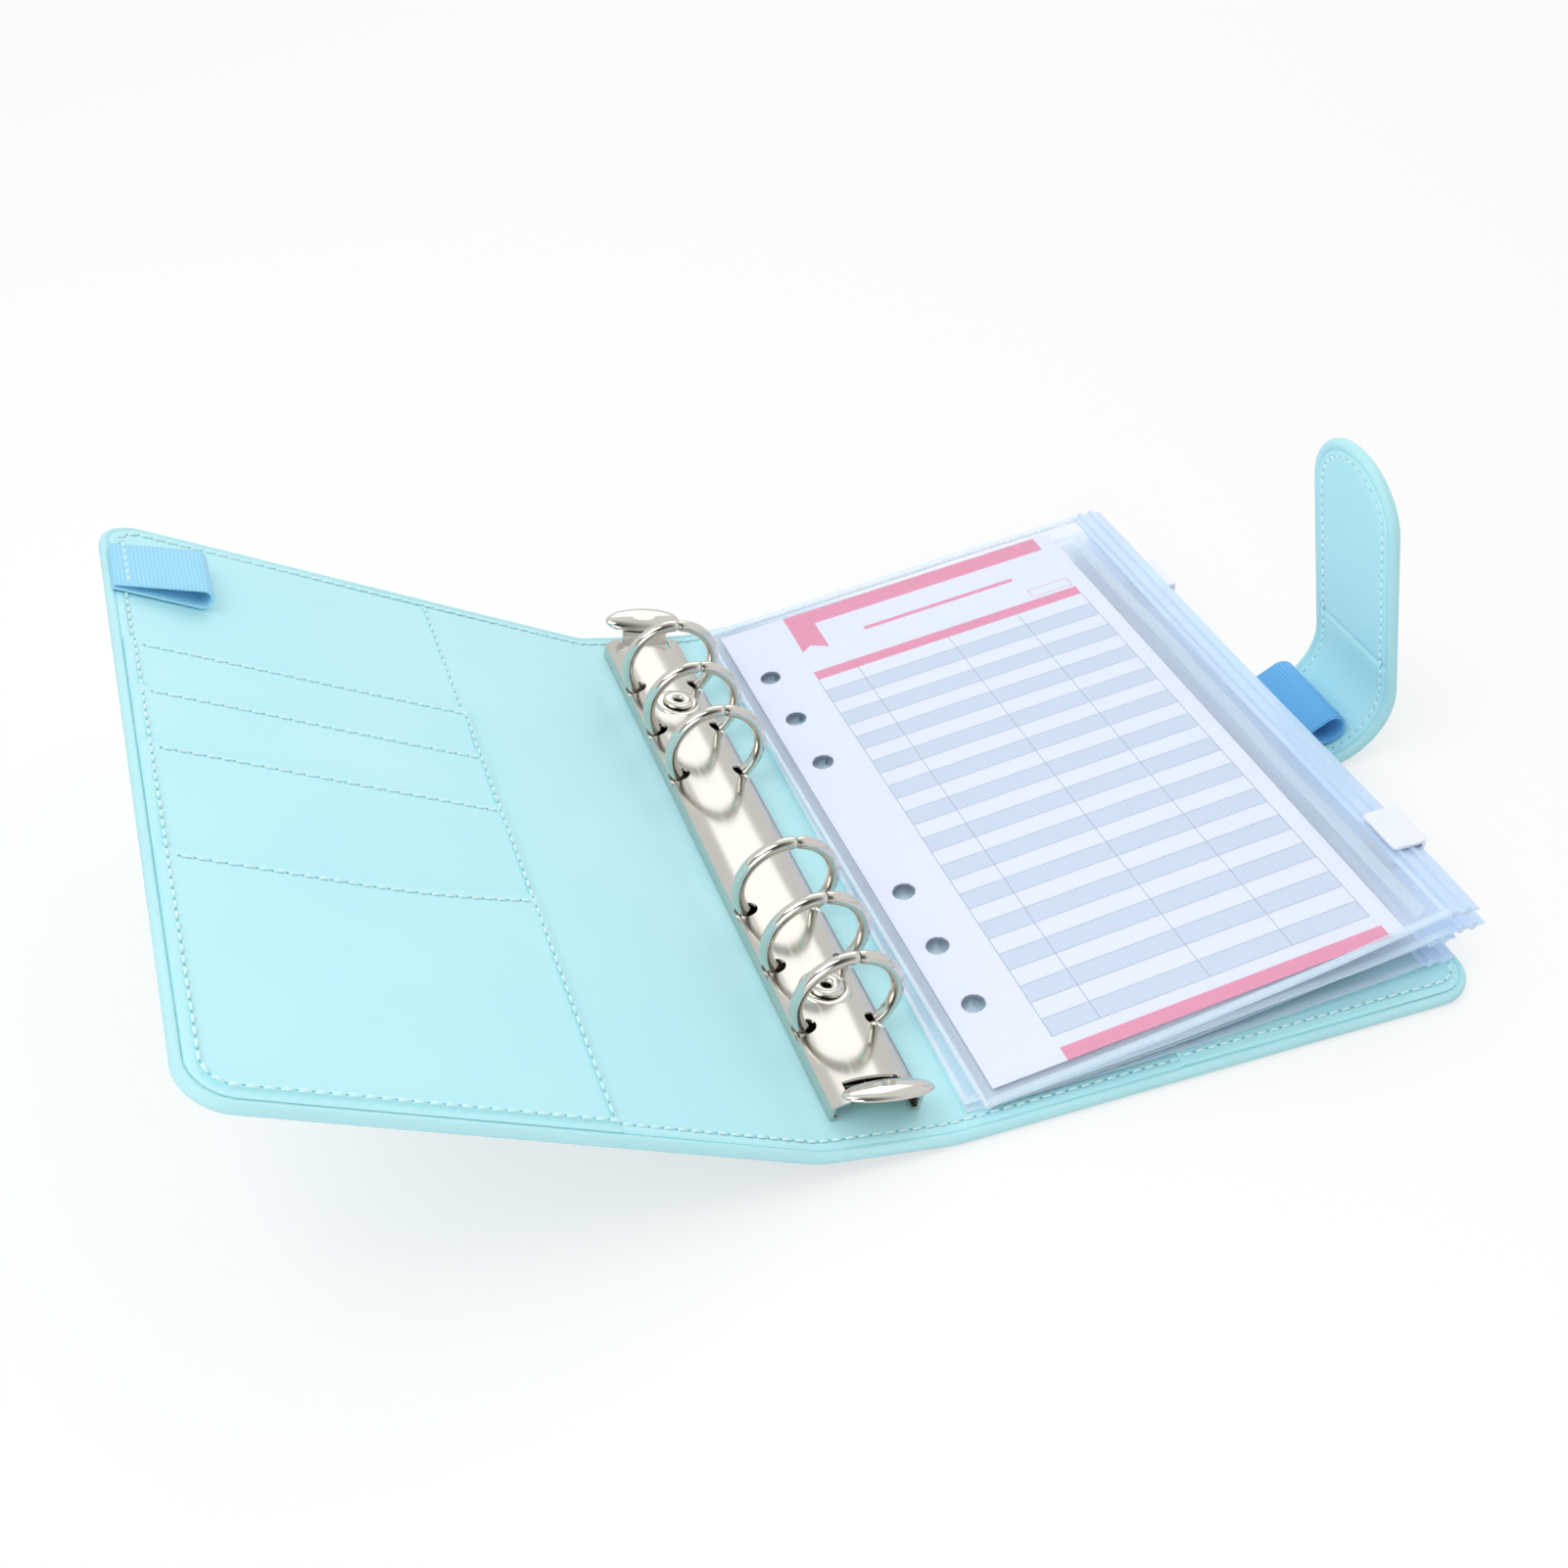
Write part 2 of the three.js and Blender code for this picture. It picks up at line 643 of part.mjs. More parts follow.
// A slider grips a pouch's rail from the open side
function slider(name, index, y) {
  const rail = railCentres[index];
  const h = railThickness / 2 + sliderGap;
  const right = railLeft + railWidth + lipLength + sliderGap;
  const left = railLeft - sliderGap;
  const shape = polygon([
    [left, rail - h - sliderWall], [right + sliderWall, rail - h - sliderWall],
    [right + sliderWall, rail + h + sliderWall], [left, rail + h + sliderWall],
    [left, rail + h], [right, rail + h], [right, rail - h], [left, rail - h],
  ]);
  const g = bar(shape, y - sliderLength / 2, y + sliderLength / 2);
  place(model, name, turned(g, index), white());
}

backCover();
spine();
strap();
pouches();
plannerSheet();
slider('slider_lower', railCentres.length - 2, sliderPlaces[0]);
slider('slider_upper', railCentres.length - 1, sliderPlaces[1]);

export default model;
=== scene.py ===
import math

import bpy
from mathutils import Matrix, Vector
from mathutils.geometry import delaunay_2d_cdt


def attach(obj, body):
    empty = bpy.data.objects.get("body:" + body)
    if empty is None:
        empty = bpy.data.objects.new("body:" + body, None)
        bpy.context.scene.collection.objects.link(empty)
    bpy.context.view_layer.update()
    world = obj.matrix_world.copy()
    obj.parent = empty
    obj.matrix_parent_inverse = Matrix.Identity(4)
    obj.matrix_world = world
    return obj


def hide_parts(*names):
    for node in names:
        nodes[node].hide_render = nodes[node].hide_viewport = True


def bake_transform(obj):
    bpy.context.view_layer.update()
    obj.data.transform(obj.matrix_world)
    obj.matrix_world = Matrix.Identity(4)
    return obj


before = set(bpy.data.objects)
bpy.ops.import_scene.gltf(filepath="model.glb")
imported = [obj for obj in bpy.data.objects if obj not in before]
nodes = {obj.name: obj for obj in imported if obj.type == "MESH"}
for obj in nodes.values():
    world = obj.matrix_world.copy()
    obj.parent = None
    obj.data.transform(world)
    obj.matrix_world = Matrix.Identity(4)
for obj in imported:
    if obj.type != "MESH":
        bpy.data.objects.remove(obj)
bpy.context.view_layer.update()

scene = bpy.context.scene
scene.view_settings.view_transform = "Standard"


# The camera stands in front of the spine, a little to the left, and looks down at the open planner.
right = Vector((0.942, -0.3358, 0.0))
upward = Vector((0.2139, 0.6001, 0.7709))
backward = Vector((-0.2589, -0.7261, 0.637))
camera_data = bpy.data.cameras.new("camera")
camera_data.sensor_width = 36.0
camera_data.lens = 42.82
camera_data.clip_start = 0.01
camera = bpy.data.objects.new("camera", camera_data)
turn = Matrix((right, upward, backward)).transposed().to_4x4()
camera.matrix_world = Matrix.Translation((-0.18017, -0.31617, 0.30129)) @ turn
scene.collection.objects.link(camera)
scene.camera = camera


# The studio: a wide soft lamp over the left front, weaker ones behind and low in front, and a pale room.
# The room is dark only where the photographer stands, which is what gives polished metal its streaks.
def colour(code):
    """An sRGB hex colour as linear red, green, blue and 1."""
    channels = [int(code[i:i + 2], 16) / 255 for i in (1, 3, 5)]
    return [c / 12.92 if c <= 0.04045 else ((c + 0.055) / 1.055) ** 2.4 for c in channels] + [1.0]


def add(tree, kind, sockets=None, **settings):
    """One node; sockets holds the numbers and the links of its inputs."""
    node = tree.nodes.new("ShaderNode" + kind)
    for key, value in settings.items():
        setattr(node, key, value)
    return feed(tree, node, sockets or {})


def feed(tree, node, sockets):
    """Sets or links inputs of a node."""
    for key, value in sockets.items():
        if isinstance(value, bpy.types.NodeSocket):
            tree.links.new(value, node.inputs[key])
        else:
            node.inputs[key].default_value = value
    return node


def lamp(name, place, size, watts):
    """A square soft lamp that faces the middle of the cover."""
    data = bpy.data.lights.new(name, "AREA")
    data.energy = watts
    data.size = size
    made = bpy.data.objects.new(name, data)
    made.location = place
    made.rotation_euler = (Vector((-0.05, 0.0, 0.0)) - Vector(place)).to_track_quat("-Z", "Y").to_euler()
    scene.collection.objects.link(made)


lamp("key_lamp", (-0.55, -0.25, 1.0), 0.7, 4.2)
lamp("back_lamp", (0.35, 0.8, 0.8), 0.8, 1.6)
lamp("front_lamp", (-0.5, -0.9, 0.3), 0.6, 2.4)
world = bpy.data.worlds.new("studio")
scene.world = world
world.use_nodes = True
tree = world.node_tree
tree.nodes.clear()
direction = add(tree, "TexCoord").outputs["Generated"]
facing = add(tree, "VectorMath", {0: direction, 1: backward}, operation="DOT_PRODUCT").outputs["Value"]
shade = add(tree, "MapRange", {"Value": facing, "From Min": 0.5, "From Max": 1.0,
                               "To Min": 0.86, "To Max": 0.06}, interpolation_type="SMOOTHSTEP")
room = add(tree, "Background", {"Color": colour("#ffffff"), "Strength": shade.outputs["Result"]})
white = add(tree, "Background", {"Color": (1, 1, 1, 1), "Strength": 1.0})
ray = add(tree, "LightPath")
both = add(tree, "MixShader", {0: ray.outputs["Is Camera Ray"], 1: room.outputs[0], 2: white.outputs[0]})
add(tree, "OutputWorld", {"Surface": both.outputs[0]})


# The table top is plain and white and takes the planner's soft shadow. To the camera alone it also glows,
# which keeps it paper white without lighting the cover.
def new_material(name):
    """A material with its node tree and its surface shader."""
    made = bpy.data.materials.new(name)
    made.use_nodes = True
    return made, made.node_tree, made.node_tree.nodes["Principled BSDF"]


def build(name, points, faces, finishes, indices=None, sharp=40):
    """A mesh object from points in millimetres, shaded smooth except at edges over sharp degrees."""
    mesh = bpy.data.meshes.new(name)
    mesh.from_pydata([[c / 1000 for c in p] for p in points], [], faces)
    for finish in finishes if isinstance(finishes, list) else [finishes]:
        mesh.materials.append(finish)
    if indices:
        mesh.polygons.foreach_set("material_index", indices)
    mesh.shade_smooth()
    mesh.set_sharp_from_angle(angle=math.radians(sharp))
    made = bpy.data.objects.new(name, mesh)
    scene.collection.objects.link(made)
    return made


def mix_colours(tree, factor, first, second):
    """A colour that runs from first to second as the factor goes from 0 to 1."""
    return add(tree, "Mix", {0: factor, 6: first, 7: second}, data_type="RGBA").outputs[2]


floor_half = 3e3
floor_level = -0.2
glow_share = 0.6
floor_paint, tree, surface = new_material("white_table")
for_camera = add(tree, "LightPath").outputs["Is Camera Ray"]
tint = mix_colours(tree, for_camera, colour("#e4e6e8"), colour("#ffffff"))
feed(tree, surface, {"Base Color": tint, "Roughness": 0.9, "Specular IOR Level": 0.0})
glow = add(tree, "Emission", {"Color": (1, 1, 1, 1), "Strength": 1.0})
share = add(tree, "Math", {0: for_camera, 1: glow_share}, operation="MULTIPLY")
softened = add(tree, "MixShader", {0: share.outputs[0], 1: surface.outputs[0], 2: glow.outputs[0]})
feed(tree, tree.nodes["Material Output"], {"Surface": softened.outputs[0]})
floor = build("floor", [(x * floor_half, y * floor_half, floor_level)
                        for x, y in ((-1, -1), (1, -1), (1, 1), (-1, 1))], [(0, 1, 2, 3)], floor_paint)


# The cover's outer skin is one sheet of leatherette over the back, the spine and the front.
# Its edge is turned over the boards all round and shows inside as a narrow rolled rim.
panel_width = 128.0
spine_width = 30.0
half_height = 95.0
corner_radius = 10.0
board_level = 1.5
bend_reach = 3.0
folds = ((0.0, math.radians(11.55)), (-spine_width, math.radians(16.85)))
spine_middle = -spine_width / 2
free_edge = {1: panel_width, -1: -spine_width - panel_width}
corners = []
x, z, heading, last = -panel_width / 2, board_level, 0.0, 0.0
for fold_place, fold_turn in folds:
    x -= (last - fold_place) * math.cos(heading)
    z += (last - fold_place) * math.sin(heading)
    corners.append((fold_place, x, z, heading, heading + fold_turn))
    heading += fold_turn
    last = fold_place


def cover_point(s, y, h):
    """A point of the cover: s along it from the back fold (towards the front edge it is negative),
    y up the page and h above the middle of the boards."""
    fold_place, x, z, before, after = corners[0] if s > spine_middle else corners[1]
    past = fold_place - s
    heading = before if past < 0 else after
    px = x - past * math.cos(heading)
    pz = z + past * math.sin(heading)
    if abs(past) < bend_reach:
        radius = bend_reach / math.tan((after - before) / 2)
        heading = before + (after - before) * (past + bend_reach) / (2 * bend_reach)
        px = x + bend_reach * math.cos(before) - radius * (math.sin(heading) - math.sin(before))
        pz = z - bend_reach * math.sin(before) + radius * (math.cos(before) - math.cos(heading))
    return px + h * math.sin(heading), y, pz + h * math.cos(heading)


def grid(columns, rows):
    """Quads of a grid whose points run row by row inside each column."""
    return [(c * rows + r, (c + 1) * rows + r, (c + 1) * rows + r + 1, c * rows + r + 1)
            for c in range(columns - 1) for r in range(rows - 1)]


def round_sheet(start, end, half, radius, rings, level, stops, rows, place):
    """A sheet from an open side at start to a side at end with two round corners. rings holds inset and
    height from the outermost turn inwards, level is the height of the middle."""
    side = 1 if end > start else -1
    zone = len(rings) + 3
    insets = [r[0] for r in rings]
    insets += [insets[-1] + (radius - insets[-1]) * (k + 1) / 4 for k in range(4)]
    heights = [r[1] for r in rings]
    columns = [(zone, s) for s in stops] + [(k, None) for k in range(zone, -1, -1)]
    lines = [(k, -1) for k in range(zone)] + [(zone, y) for y in rows]
    lines += [(k, 1) for k in range(zone - 1, -1, -1)]
    points = []
    for kx, s in columns:
        for ky, y in lines:
            k = min(kx, ky)
            h = heights[k] if k < len(rings) else level
            if kx < zone and ky < zone:
                a, b = (zone - kx) / zone, (zone - ky) / zone
                angle = math.pi / 4 * b / a if a >= b else math.pi / 2 - math.pi / 4 * a / b
                reach = radius - insets[k]
                px = end - side * (radius - reach * math.cos(angle))
                py = y * (half - radius + reach * math.sin(angle))
            else:
                px = end - side * insets[kx] if s is None else s
                py = y * (half - insets[ky]) if ky < zone else y
            points.append(place(px, py, h))
    return points, grid(len(columns), len(lines))


def spread(a, b, step):
    """Numbers from a to b, about step apart."""
    count = max(1, round(abs(b - a) / step))
    return [a + (b - a) * i / count for i in range(count + 1)]


def panel_stops(side):
    """The places across a panel where its sheets may bend: close together at the fold."""
    fold_at = 0.0 if side > 0 else -spine_width
    edge = free_edge[side] - side * (corner_radius + 0.5)
    return ([spine_middle] + spread(fold_at - side * 6, fold_at + side * 6, 0.75)
            + spread(fold_at + side * 12, edge, 7.0))


def in_metres(point):
    """A point in millimetres as a vector in metres."""
    return Vector(point) / 1000


def across_fold(piece):
    """Bakes the piece's placement into its mesh."""
    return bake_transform(piece)


# Grained PU leatherette: a coated cloth with a fine pebble of about 0.8 mm pressed in, satin gloss.
def noise(tree, scale, detail=2.0, drawn=1.0):
    """Soft random patches from 0 to 1, 1 / scale metres wide; drawn under 1 stretches them along y."""
    where = add(tree, "TexCoord").outputs["Object"]
    moved = add(tree, "Mapping", {0: where, "Scale": (1.0, drawn, 1.0)}).outputs[0]
    return add(tree, "TexNoise", {"Vector": moved, "Scale": scale, "Detail": detail}).outputs["Fac"]


def scaled(tree, value, low, high):
    """A value from 0 to 1 taken to the range from low to high."""
    return add(tree, "MapRange", {"Value": value, "To Min": low, "To Max": high}).outputs["Result"]


def relief(tree, height, strength, depth):
    """The normal of a surface with fine relief; depth is in metres."""
    return add(tree, "Bump", {"Height": height, "Strength": strength, "Distance": depth}).outputs["Normal"]


leatherette, tree, surface = new_material("grained_leatherette")
where = add(tree, "TexCoord").outputs["Object"]
pebble = add(tree, "TexVoronoi", {"Vector": where, "Scale": 1250.0}, feature="SMOOTH_F1")
cloud = noise(tree, 32.0, 3.0)
feed(tree, surface, {"Base Color": mix_colours(tree, cloud, colour("#b2e9f0"), colour("#c3f4f8")),
                     "Roughness": scaled(tree, cloud, 0.38, 0.5), "IOR": 1.46,
                     "Normal": relief(tree, pebble.outputs["Distance"], 0.35, 0.00012)})

skin_rings = [(2.3, 0.3), (2.0, 0.9), (1.65, 1.3), (1.2, 1.5), (0.7, 1.44), (0.3, 1.1), (0.05, 0.55),
              (0.0, -0.2), (0.15, -0.9), (0.6, -1.36), (1.4, -1.5), (4.0, -1.5)]
panel_rows = spread(-half_height + corner_radius, half_height - corner_radius, 8.5)
for side, name in ((1, "back_skin"), (-1, "front_skin")):
    shape = round_sheet(spine_middle, free_edge[side], half_height, corner_radius, skin_rings,
                        -board_level, panel_stops(side), panel_rows, cover_point)
    skin = build(name, *shape, leatherette)
    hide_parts(*(["back_cover_skin", "spine_skin"] if side > 0 else ["front_cover_skin"]))
    across_fold(skin)


# The inside lining is a second, smoother sheet laid over the boards and the turned-in skin.
# One row of machine stitches 4 mm inside the edge holds it, the skin and the pockets together.
lining, tree, surface = new_material("smooth_leatherette_lining")
linen = noise(tree, 900.0)
cloud = noise(tree, 24.0)
feed(tree, surface, {"Base Color": mix_colours(tree, cloud, colour("#b6eff7"), colour("#c4f6fb")),
                     "Roughness": scaled(tree, cloud, 0.36, 0.46), "IOR": 1.46,
                     "Normal": relief(tree, linen, 0.22, 0.0001)})


def rippled_point(s, y, h):
    """A point of the inside sheets. Leatherette on thin board is never quite flat."""
    wave = 0.10 * math.sin(s / 17 + y / 29) * math.cos(y / 21 - s / 53)
    return cover_point(s, y, h + (wave if h > 0 else 0.0))


lining_rings = [(1.9, 0.7), (1.75, 1.05), (1.85, 1.36), (2.2, 1.52), (2.9, 1.6), (3.6, 1.52), (4.0, 1.34),
                (4.4, 1.5), (5.2, 1.54)]
for side, name in ((1, "back_lining"), (-1, "front_lining")):
    shape = round_sheet(spine_middle, free_edge[side], half_height, corner_radius, lining_rings,
                        board_level, panel_stops(side), panel_rows, rippled_point)
    sheet = build(name, *shape, lining)
    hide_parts(*(["back_cover_lining", "spine_lining"] if side > 0 else ["front_cover_lining"]))
    across_fold(sheet)


# Sewing thread: twisted polyester in the cover's own colour, each stitch pulled down at both ends.
# Between each two stitches a small darker disc lies over the needle hole: painted shade for the hollow of
# the hole.
thread, tree, surface = new_material("polyester_thread")
where = add(tree, "TexCoord").outputs["Object"]
twist = add(tree, "TexWave", {"Vector": where, "Scale": 900.0, "Distortion": 1.0},
            bands_direction="DIAGONAL").outputs["Fac"]
feed(tree, surface, {"Base Color": colour("#d6f8fa"), "Roughness": 0.55,
                     "Normal": relief(tree, twist, 0.4, 0.00008)})
# The needle-hole discs are painted shade: a darker colour standing in for the hollow of each hole.
needle_hole_shade, tree, surface = new_material("painted_needle_hole_shade")
hole_shade_mottle = noise(tree, 900.0)
feed(tree, surface, {"Base Color": mix_colours(tree, hole_shade_mottle, colour("#6db4c4"), colour("#8accd8")),
                     "Roughness": 0.8})
stitch_pitch = 3.0
stitch_length = 2.3
stitch_inset = 4.0
thread_half_width = 0.4
thread_half_height = 0.27
hole_half_length = 0.34
hole_half_width = 0.24
hole_lift = 0.06
# Along a stitch: place as a part of its length, girth of the thread and its height.
stitch_shape = [(-0.5, 0.35, -0.16), (-0.3, 0.85, 0.08), (0, 1.0, 0.16), (0.3, 0.85, 0.08),
                (0.5, 0.35, -0.16)]


def loft(sections, closed=False):
    """Points and faces of a solid through closed sections of equal count."""
    count = len(sections[0])
    points = [p for section in sections for p in section]
    faces = []
    for i in range(len(sections) if closed else len(sections) - 1):
        a, b = i * count, (i + 1) % len(sections) * count
        faces += [(a + j, a + (j + 1) % count, b + (j + 1) % count, b + j) for j in range(count)]
    if not closed:
        faces += [tuple(range(count - 1, -1, -1)), tuple(range(len(points) - count, len(points)))]
    return points, faces


def sew(name, line, place, top, pitch=stitch_pitch, length=stitch_length):
    """Stitches along a line of (s, y) points, with a small disc of painted needle-hole shade between each
    two;
    top gives the height of the surface."""
    points, faces, marks = [], [], []
    travelled, next_at = 0.0, pitch / 2
    for (s0, y0), (s1, y1) in zip(line, line[1:]):
        run = math.hypot(s1 - s0, y1 - y0)
        while next_at <= travelled + run:
            part = (next_at - travelled) / run
            s, y = s0 + (s1 - s0) * part, y0 + (y1 - y0) * part
            ds, dy = (s1 - s0) / run, (y1 - y0) / run
            sections = []
            for along, girth, lift in stitch_shape:
                ring = []
                for k in range(6):
                    angle = k * math.pi / 3
                    off = thread_half_width * girth * math.cos(angle)
                    up = top(s, y) + lift + thread_half_height * girth * math.sin(angle)
                    ring.append(place(s + ds * along * length - dy * off,
                                      y + dy * along * length + ds * off, up))
                sections.append(ring)
            more, quads = loft(sections)
            faces += [tuple(i + len(points) for i in f) for f in quads]
            marks += [0] * len(quads)
            points += more
            faces.append(tuple(len(points) + k for k in range(8)))
            marks.append(1)
            for k in range(8):
                along = pitch / 2 + hole_half_length * math.cos(k * math.pi / 4)
                off = hole_half_width * math.sin(k * math.pi / 4)
                points.append(place(s + ds * along - dy * off, y + dy * along + ds * off,
                                    top(s, y) + hole_lift))
            next_at += pitch
        travelled += run
    return build(name, points, faces, [thread, needle_hole_shade], marks, sharp=80)


def edge_line(side, inset):
    """A line round one panel's three sides, inset from its edge, from the spine's middle and back."""
    r = corner_radius - inset
    centre = free_edge[side] - side * corner_radius
    low = -half_height + corner_radius
    swing = spread(0.1, math.pi / 2, 0.12)
    line = [(s, low - r) for s in spread(spine_middle, centre, 3)]
    line += [(centre + side * r * math.sin(a), low - r * math.cos(a)) for a in swing]
    line += [(centre + side * r, y) for y in spread(low + 3, -low, 3)]
    line += [(centre + side * r * math.cos(a), -low + r * math.sin(a)) for a in swing]
    return line + [(s, -low + r) for s in spread(centre - side * 3, spine_middle, 3)]


pocket_top = 2.35
front_seam = 45.0
card_edges = (43.5, 25.7, 5.6)
big_edge = -29.0
back_pocket_edge = 53.2
front_loop_place = 71.5
front_loop_width = 18.0
front_loop_root = 8.0
front_loop_top = 4.1


def inside_top(s, y):
    """The height that the edge stitches lie at: over the pen loop, over the pockets, or on the lining."""
    if s < free_edge[-1] + front_loop_root and abs(y - front_loop_place) < front_loop_width / 2:
        return front_loop_top
    if s > back_pocket_edge or (s < -spine_width - front_seam and y < card_edges[0]):
        return pocket_top + 0.02
    return 1.55


for side, name in ((1, "back_stitches"), (-1, "front_stitches")):
    row = sew(name, edge_line(side, stitch_inset), cover_point, inside_top)
    across_fold(row)


# The pockets are single sheets of the lining leatherette with a turned top edge, caught in the edge
# stitches outside and in a seam at the inner side. Each lies over the foot of the one above.
pocket_inset = 1.8
pocket_flat = pocket_top - 0.06
hem_depth = 6.0
hem_stitch_inset = 2.4
seam_inset = 1.6
seam_end = 4.5
outer_side = panel_width - pocket_inset


def pocket(name, node, body, sides, low, high, place, under=1.5):
    """A pocket across sides, from low(a) to its open edge at high(a)."""
    first, final = sides
    columns = [first, first + 0.35, first + 0.9] + spread(first + 5, final - 10, 6)
    columns += [final - inset for inset in (8, 6, 4.5, 3, 2, 1.2, 0.6, 0.2, 0)]
    turned = [(0.0, under), (0.0, pocket_top - 0.35), (0.12, pocket_top - 0.12), (0.4, pocket_top),
              (1.2, pocket_top + 0.04), (2.4, pocket_flat), (hem_depth, pocket_flat)]
    points = []
    for i, a in enumerate(columns):
        reach = high(a) - low(a)
        rim = 0.0 if i in (0, len(columns) - 1) else 1.0
        for down, h in turned:
            points.append(place(a, high(a) - down, under + (h - under) * rim))
        for part in (0.25, 0.5, 0.75, 0.93, 1.0):
            b = high(a) - hem_depth - (reach - hem_depth) * part
            settled = pocket_flat - 0.4 * part
            points.append(place(a, b, under + (settled - under) * rim * (part < 1.0)))
    piece = build(name, points, grid(len(columns), len(turned) + 5), lining)
    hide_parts(node)
    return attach(piece, body)


def front_place(a, b, h):
    """A point of the front panel, a across it from its fold and b up the page."""
    return rippled_point(-spine_width - a, b, h)


def big_curve(a):
    """The big front pocket's edge rises towards the seam."""
    part = max(0.0, (front_seam + 41 - a) / 41)
    return big_edge + 4.0 * part * part


def round_foot(a, final, foot, radius):
    """A foot line that rises round the cover's corner."""
    over = max(0.0, a - (final - radius))
    return foot + radius - math.sqrt(max(0.0, radius * radius - over * over))


for i, edge in enumerate(card_edges):
    foot = (lambda a, i=i: card_edges[i + 1] - 1.5) if i < 2 else (lambda a: big_curve(a) - 1.5)
    pocket(f"card_pocket_{i + 1}_sheet", f"card_pocket_{i + 1}", "front_cover", (front_seam, outer_side),
           foot, lambda a, edge=edge: edge, front_place)
pocket("big_pocket_sheet", "big_pocket", "front_cover", (front_seam, outer_side),
       lambda a: round_foot(a, outer_side, -half_height + pocket_inset, corner_radius - pocket_inset),
       big_curve, front_place)
seam_line = [(-spine_width - front_seam - seam_inset, y)
             for y in spread(half_height - seam_end, -half_height + seam_end, 3)]
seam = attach(sew("pocket_seam", seam_line, cover_point,
                   lambda s, y: pocket_top + 0.06 if y < card_edges[0] else 1.58), "front_cover")
hems = [(f"card_hem_{i + 1}", lambda a, edge=edge: edge) for i, edge in enumerate(card_edges)]
hems.append(("big_hem", big_curve))
for name, edge in hems:
    hem_line = [(-spine_width - a, edge(a) - hem_stitch_inset)
                for a in spread(front_seam + 2, outer_side - 3, 3)]
    hem = sew(name, hem_line, rippled_point, lambda s, y: pocket_top + 0.02)
    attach(hem, "front_cover")


# The back pocket covers the outer half of the back cover; its open edge faces the rings.
back_edge = half_height - pocket_inset
back_foot = corner_radius - pocket_inset


def back_place(a, b, h):
    """A point of the back panel, a up the page and b across it; b grows to 0 at the fold."""
    return cover_point(-b, a, h)


pocket("back_pocket_sheet", "back_pocket", "back_cover", (-back_edge, back_edge),
       lambda a: round_foot(abs(a), back_edge, -outer_side, back_foot),
       lambda a: -back_pocket_edge, back_place)


# The closing strap is padded leatherette, its skin rolled round to the inside, with a sewn-on facing.
# Its root is fixed to the back cover; past the crease the stiff flap swings over the front cover.
strap_width = 34.5
strap_centre = 3.0
strap_flat = 9.7
strap_bend = 17.0
strap_lean = math.radians(12.5)
strap_turn = math.pi / 2 + strap_lean
strap_rise = 7.0
flap_length = 57.5
strap_crease = strap_flat + strap_bend * strap_turn + strap_rise
strap_start = -1.5
strap_end = strap_crease + flap_length
strap_layer = 1.2
strap_level = 0.6
crease_reach = 3.0


def strap_point(s, y, h):
    """A point of the strap: s along it from the cover's edge, h from the middle of its outer layer."""
    bent = min(max(0.0, (s - strap_flat) / strap_bend), strap_turn)
    rest = max(0.0, s - strap_flat - strap_bend * strap_turn)
    px = panel_width / 2 + 0.3 + min(s, strap_flat) + strap_bend * math.sin(bent) + rest * math.cos(bent)
    pz = strap_level + strap_bend * (1 - math.cos(bent)) + rest * math.sin(bent)
    return px - h * math.sin(bent), strap_centre + y, pz + h * math.cos(bent)


def crease(s, h):
    """The bend that use has left in the facing."""
    return h - 0.45 * math.exp(-((s - strap_crease) / 0.9) ** 2)


def at_crease(piece):
    """Bakes the piece's placement into its mesh. The points just before and past the crease are found but
    not used.
    """
    near = in_metres(strap_point(strap_crease - crease_reach, -strap_centre, 0))
    far = in_metres(strap_point(strap_crease + crease_reach, -strap_centre, 0))
    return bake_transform(piece)


strap_stops = (spread(strap_start, strap_crease - 4, 2.0) + spread(strap_crease - 3, strap_crease + 3, 0.5)
               + spread(strap_crease + 5, strap_end - strap_width / 2 - 1, 3.0))
strap_radius = strap_width / 2 - 0.01
skin_turn = [(2.8, 1.2), (2.5, 1.8), (2.0, 2.15), (1.3, 2.25), (0.6, 1.95), (0.1, 1.3), (0.0, 0.6),
             (0.2, -0.1), (0.8, -0.5), (1.8, -0.6), (4.0, -0.6)]
facing_turn = [(2.6, 1.5), (2.45, 1.8), (2.6, 2.05), (3.0, 2.2), (3.7, 2.22), (4.2, 2.0), (4.7, 2.2),
               (6.0, 2.25)]
points, faces = round_sheet(strap_start, strap_end, strap_width / 2, strap_radius, skin_turn,
                            -strap_layer / 2, strap_stops, [0.0], strap_point)
strap_skin = build("strap_skin", points, faces, leatherette)
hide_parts("strap_root_outer", "strap_flap_outer")
at_crease(strap_skin)
points, faces = round_sheet(strap_start, strap_end, strap_width / 2, strap_radius, facing_turn,
                            facing_turn[-1][1], strap_stops, [0.0],
                            lambda s, y, h: strap_point(s, y, crease(s, h)))
strap_facing = build("strap_facing", points, faces, lining)
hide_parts("strap_root_inner", "strap_flap_inner")
at_crease(strap_facing)
strap_stitch_inset = 4.2
round_at = strap_end - strap_width / 2
reach = strap_width / 2 - strap_stitch_inset
strap_line = [(s, -reach) for s in spread(1, round_at, 2)]
strap_line += [(round_at + reach * math.cos(a), reach * math.sin(a)) for a in spread(-1.5, 1.5, 0.1)]
strap_line += [(s, reach) for s in spread(round_at, 1, 2)]
strap_sewing = sew("strap_stitches", strap_line, strap_point, lambda s, y: 2.02, pitch=2.8, length=2.1)
at_crease(strap_sewing)


# The pen loops are bands of woven elastic folded in half and sewn down at their ends.
# The weave is a fine rib across the band, with the warp threads showing between.
rib_rate = 6981.0
warp_rate = 10472.0


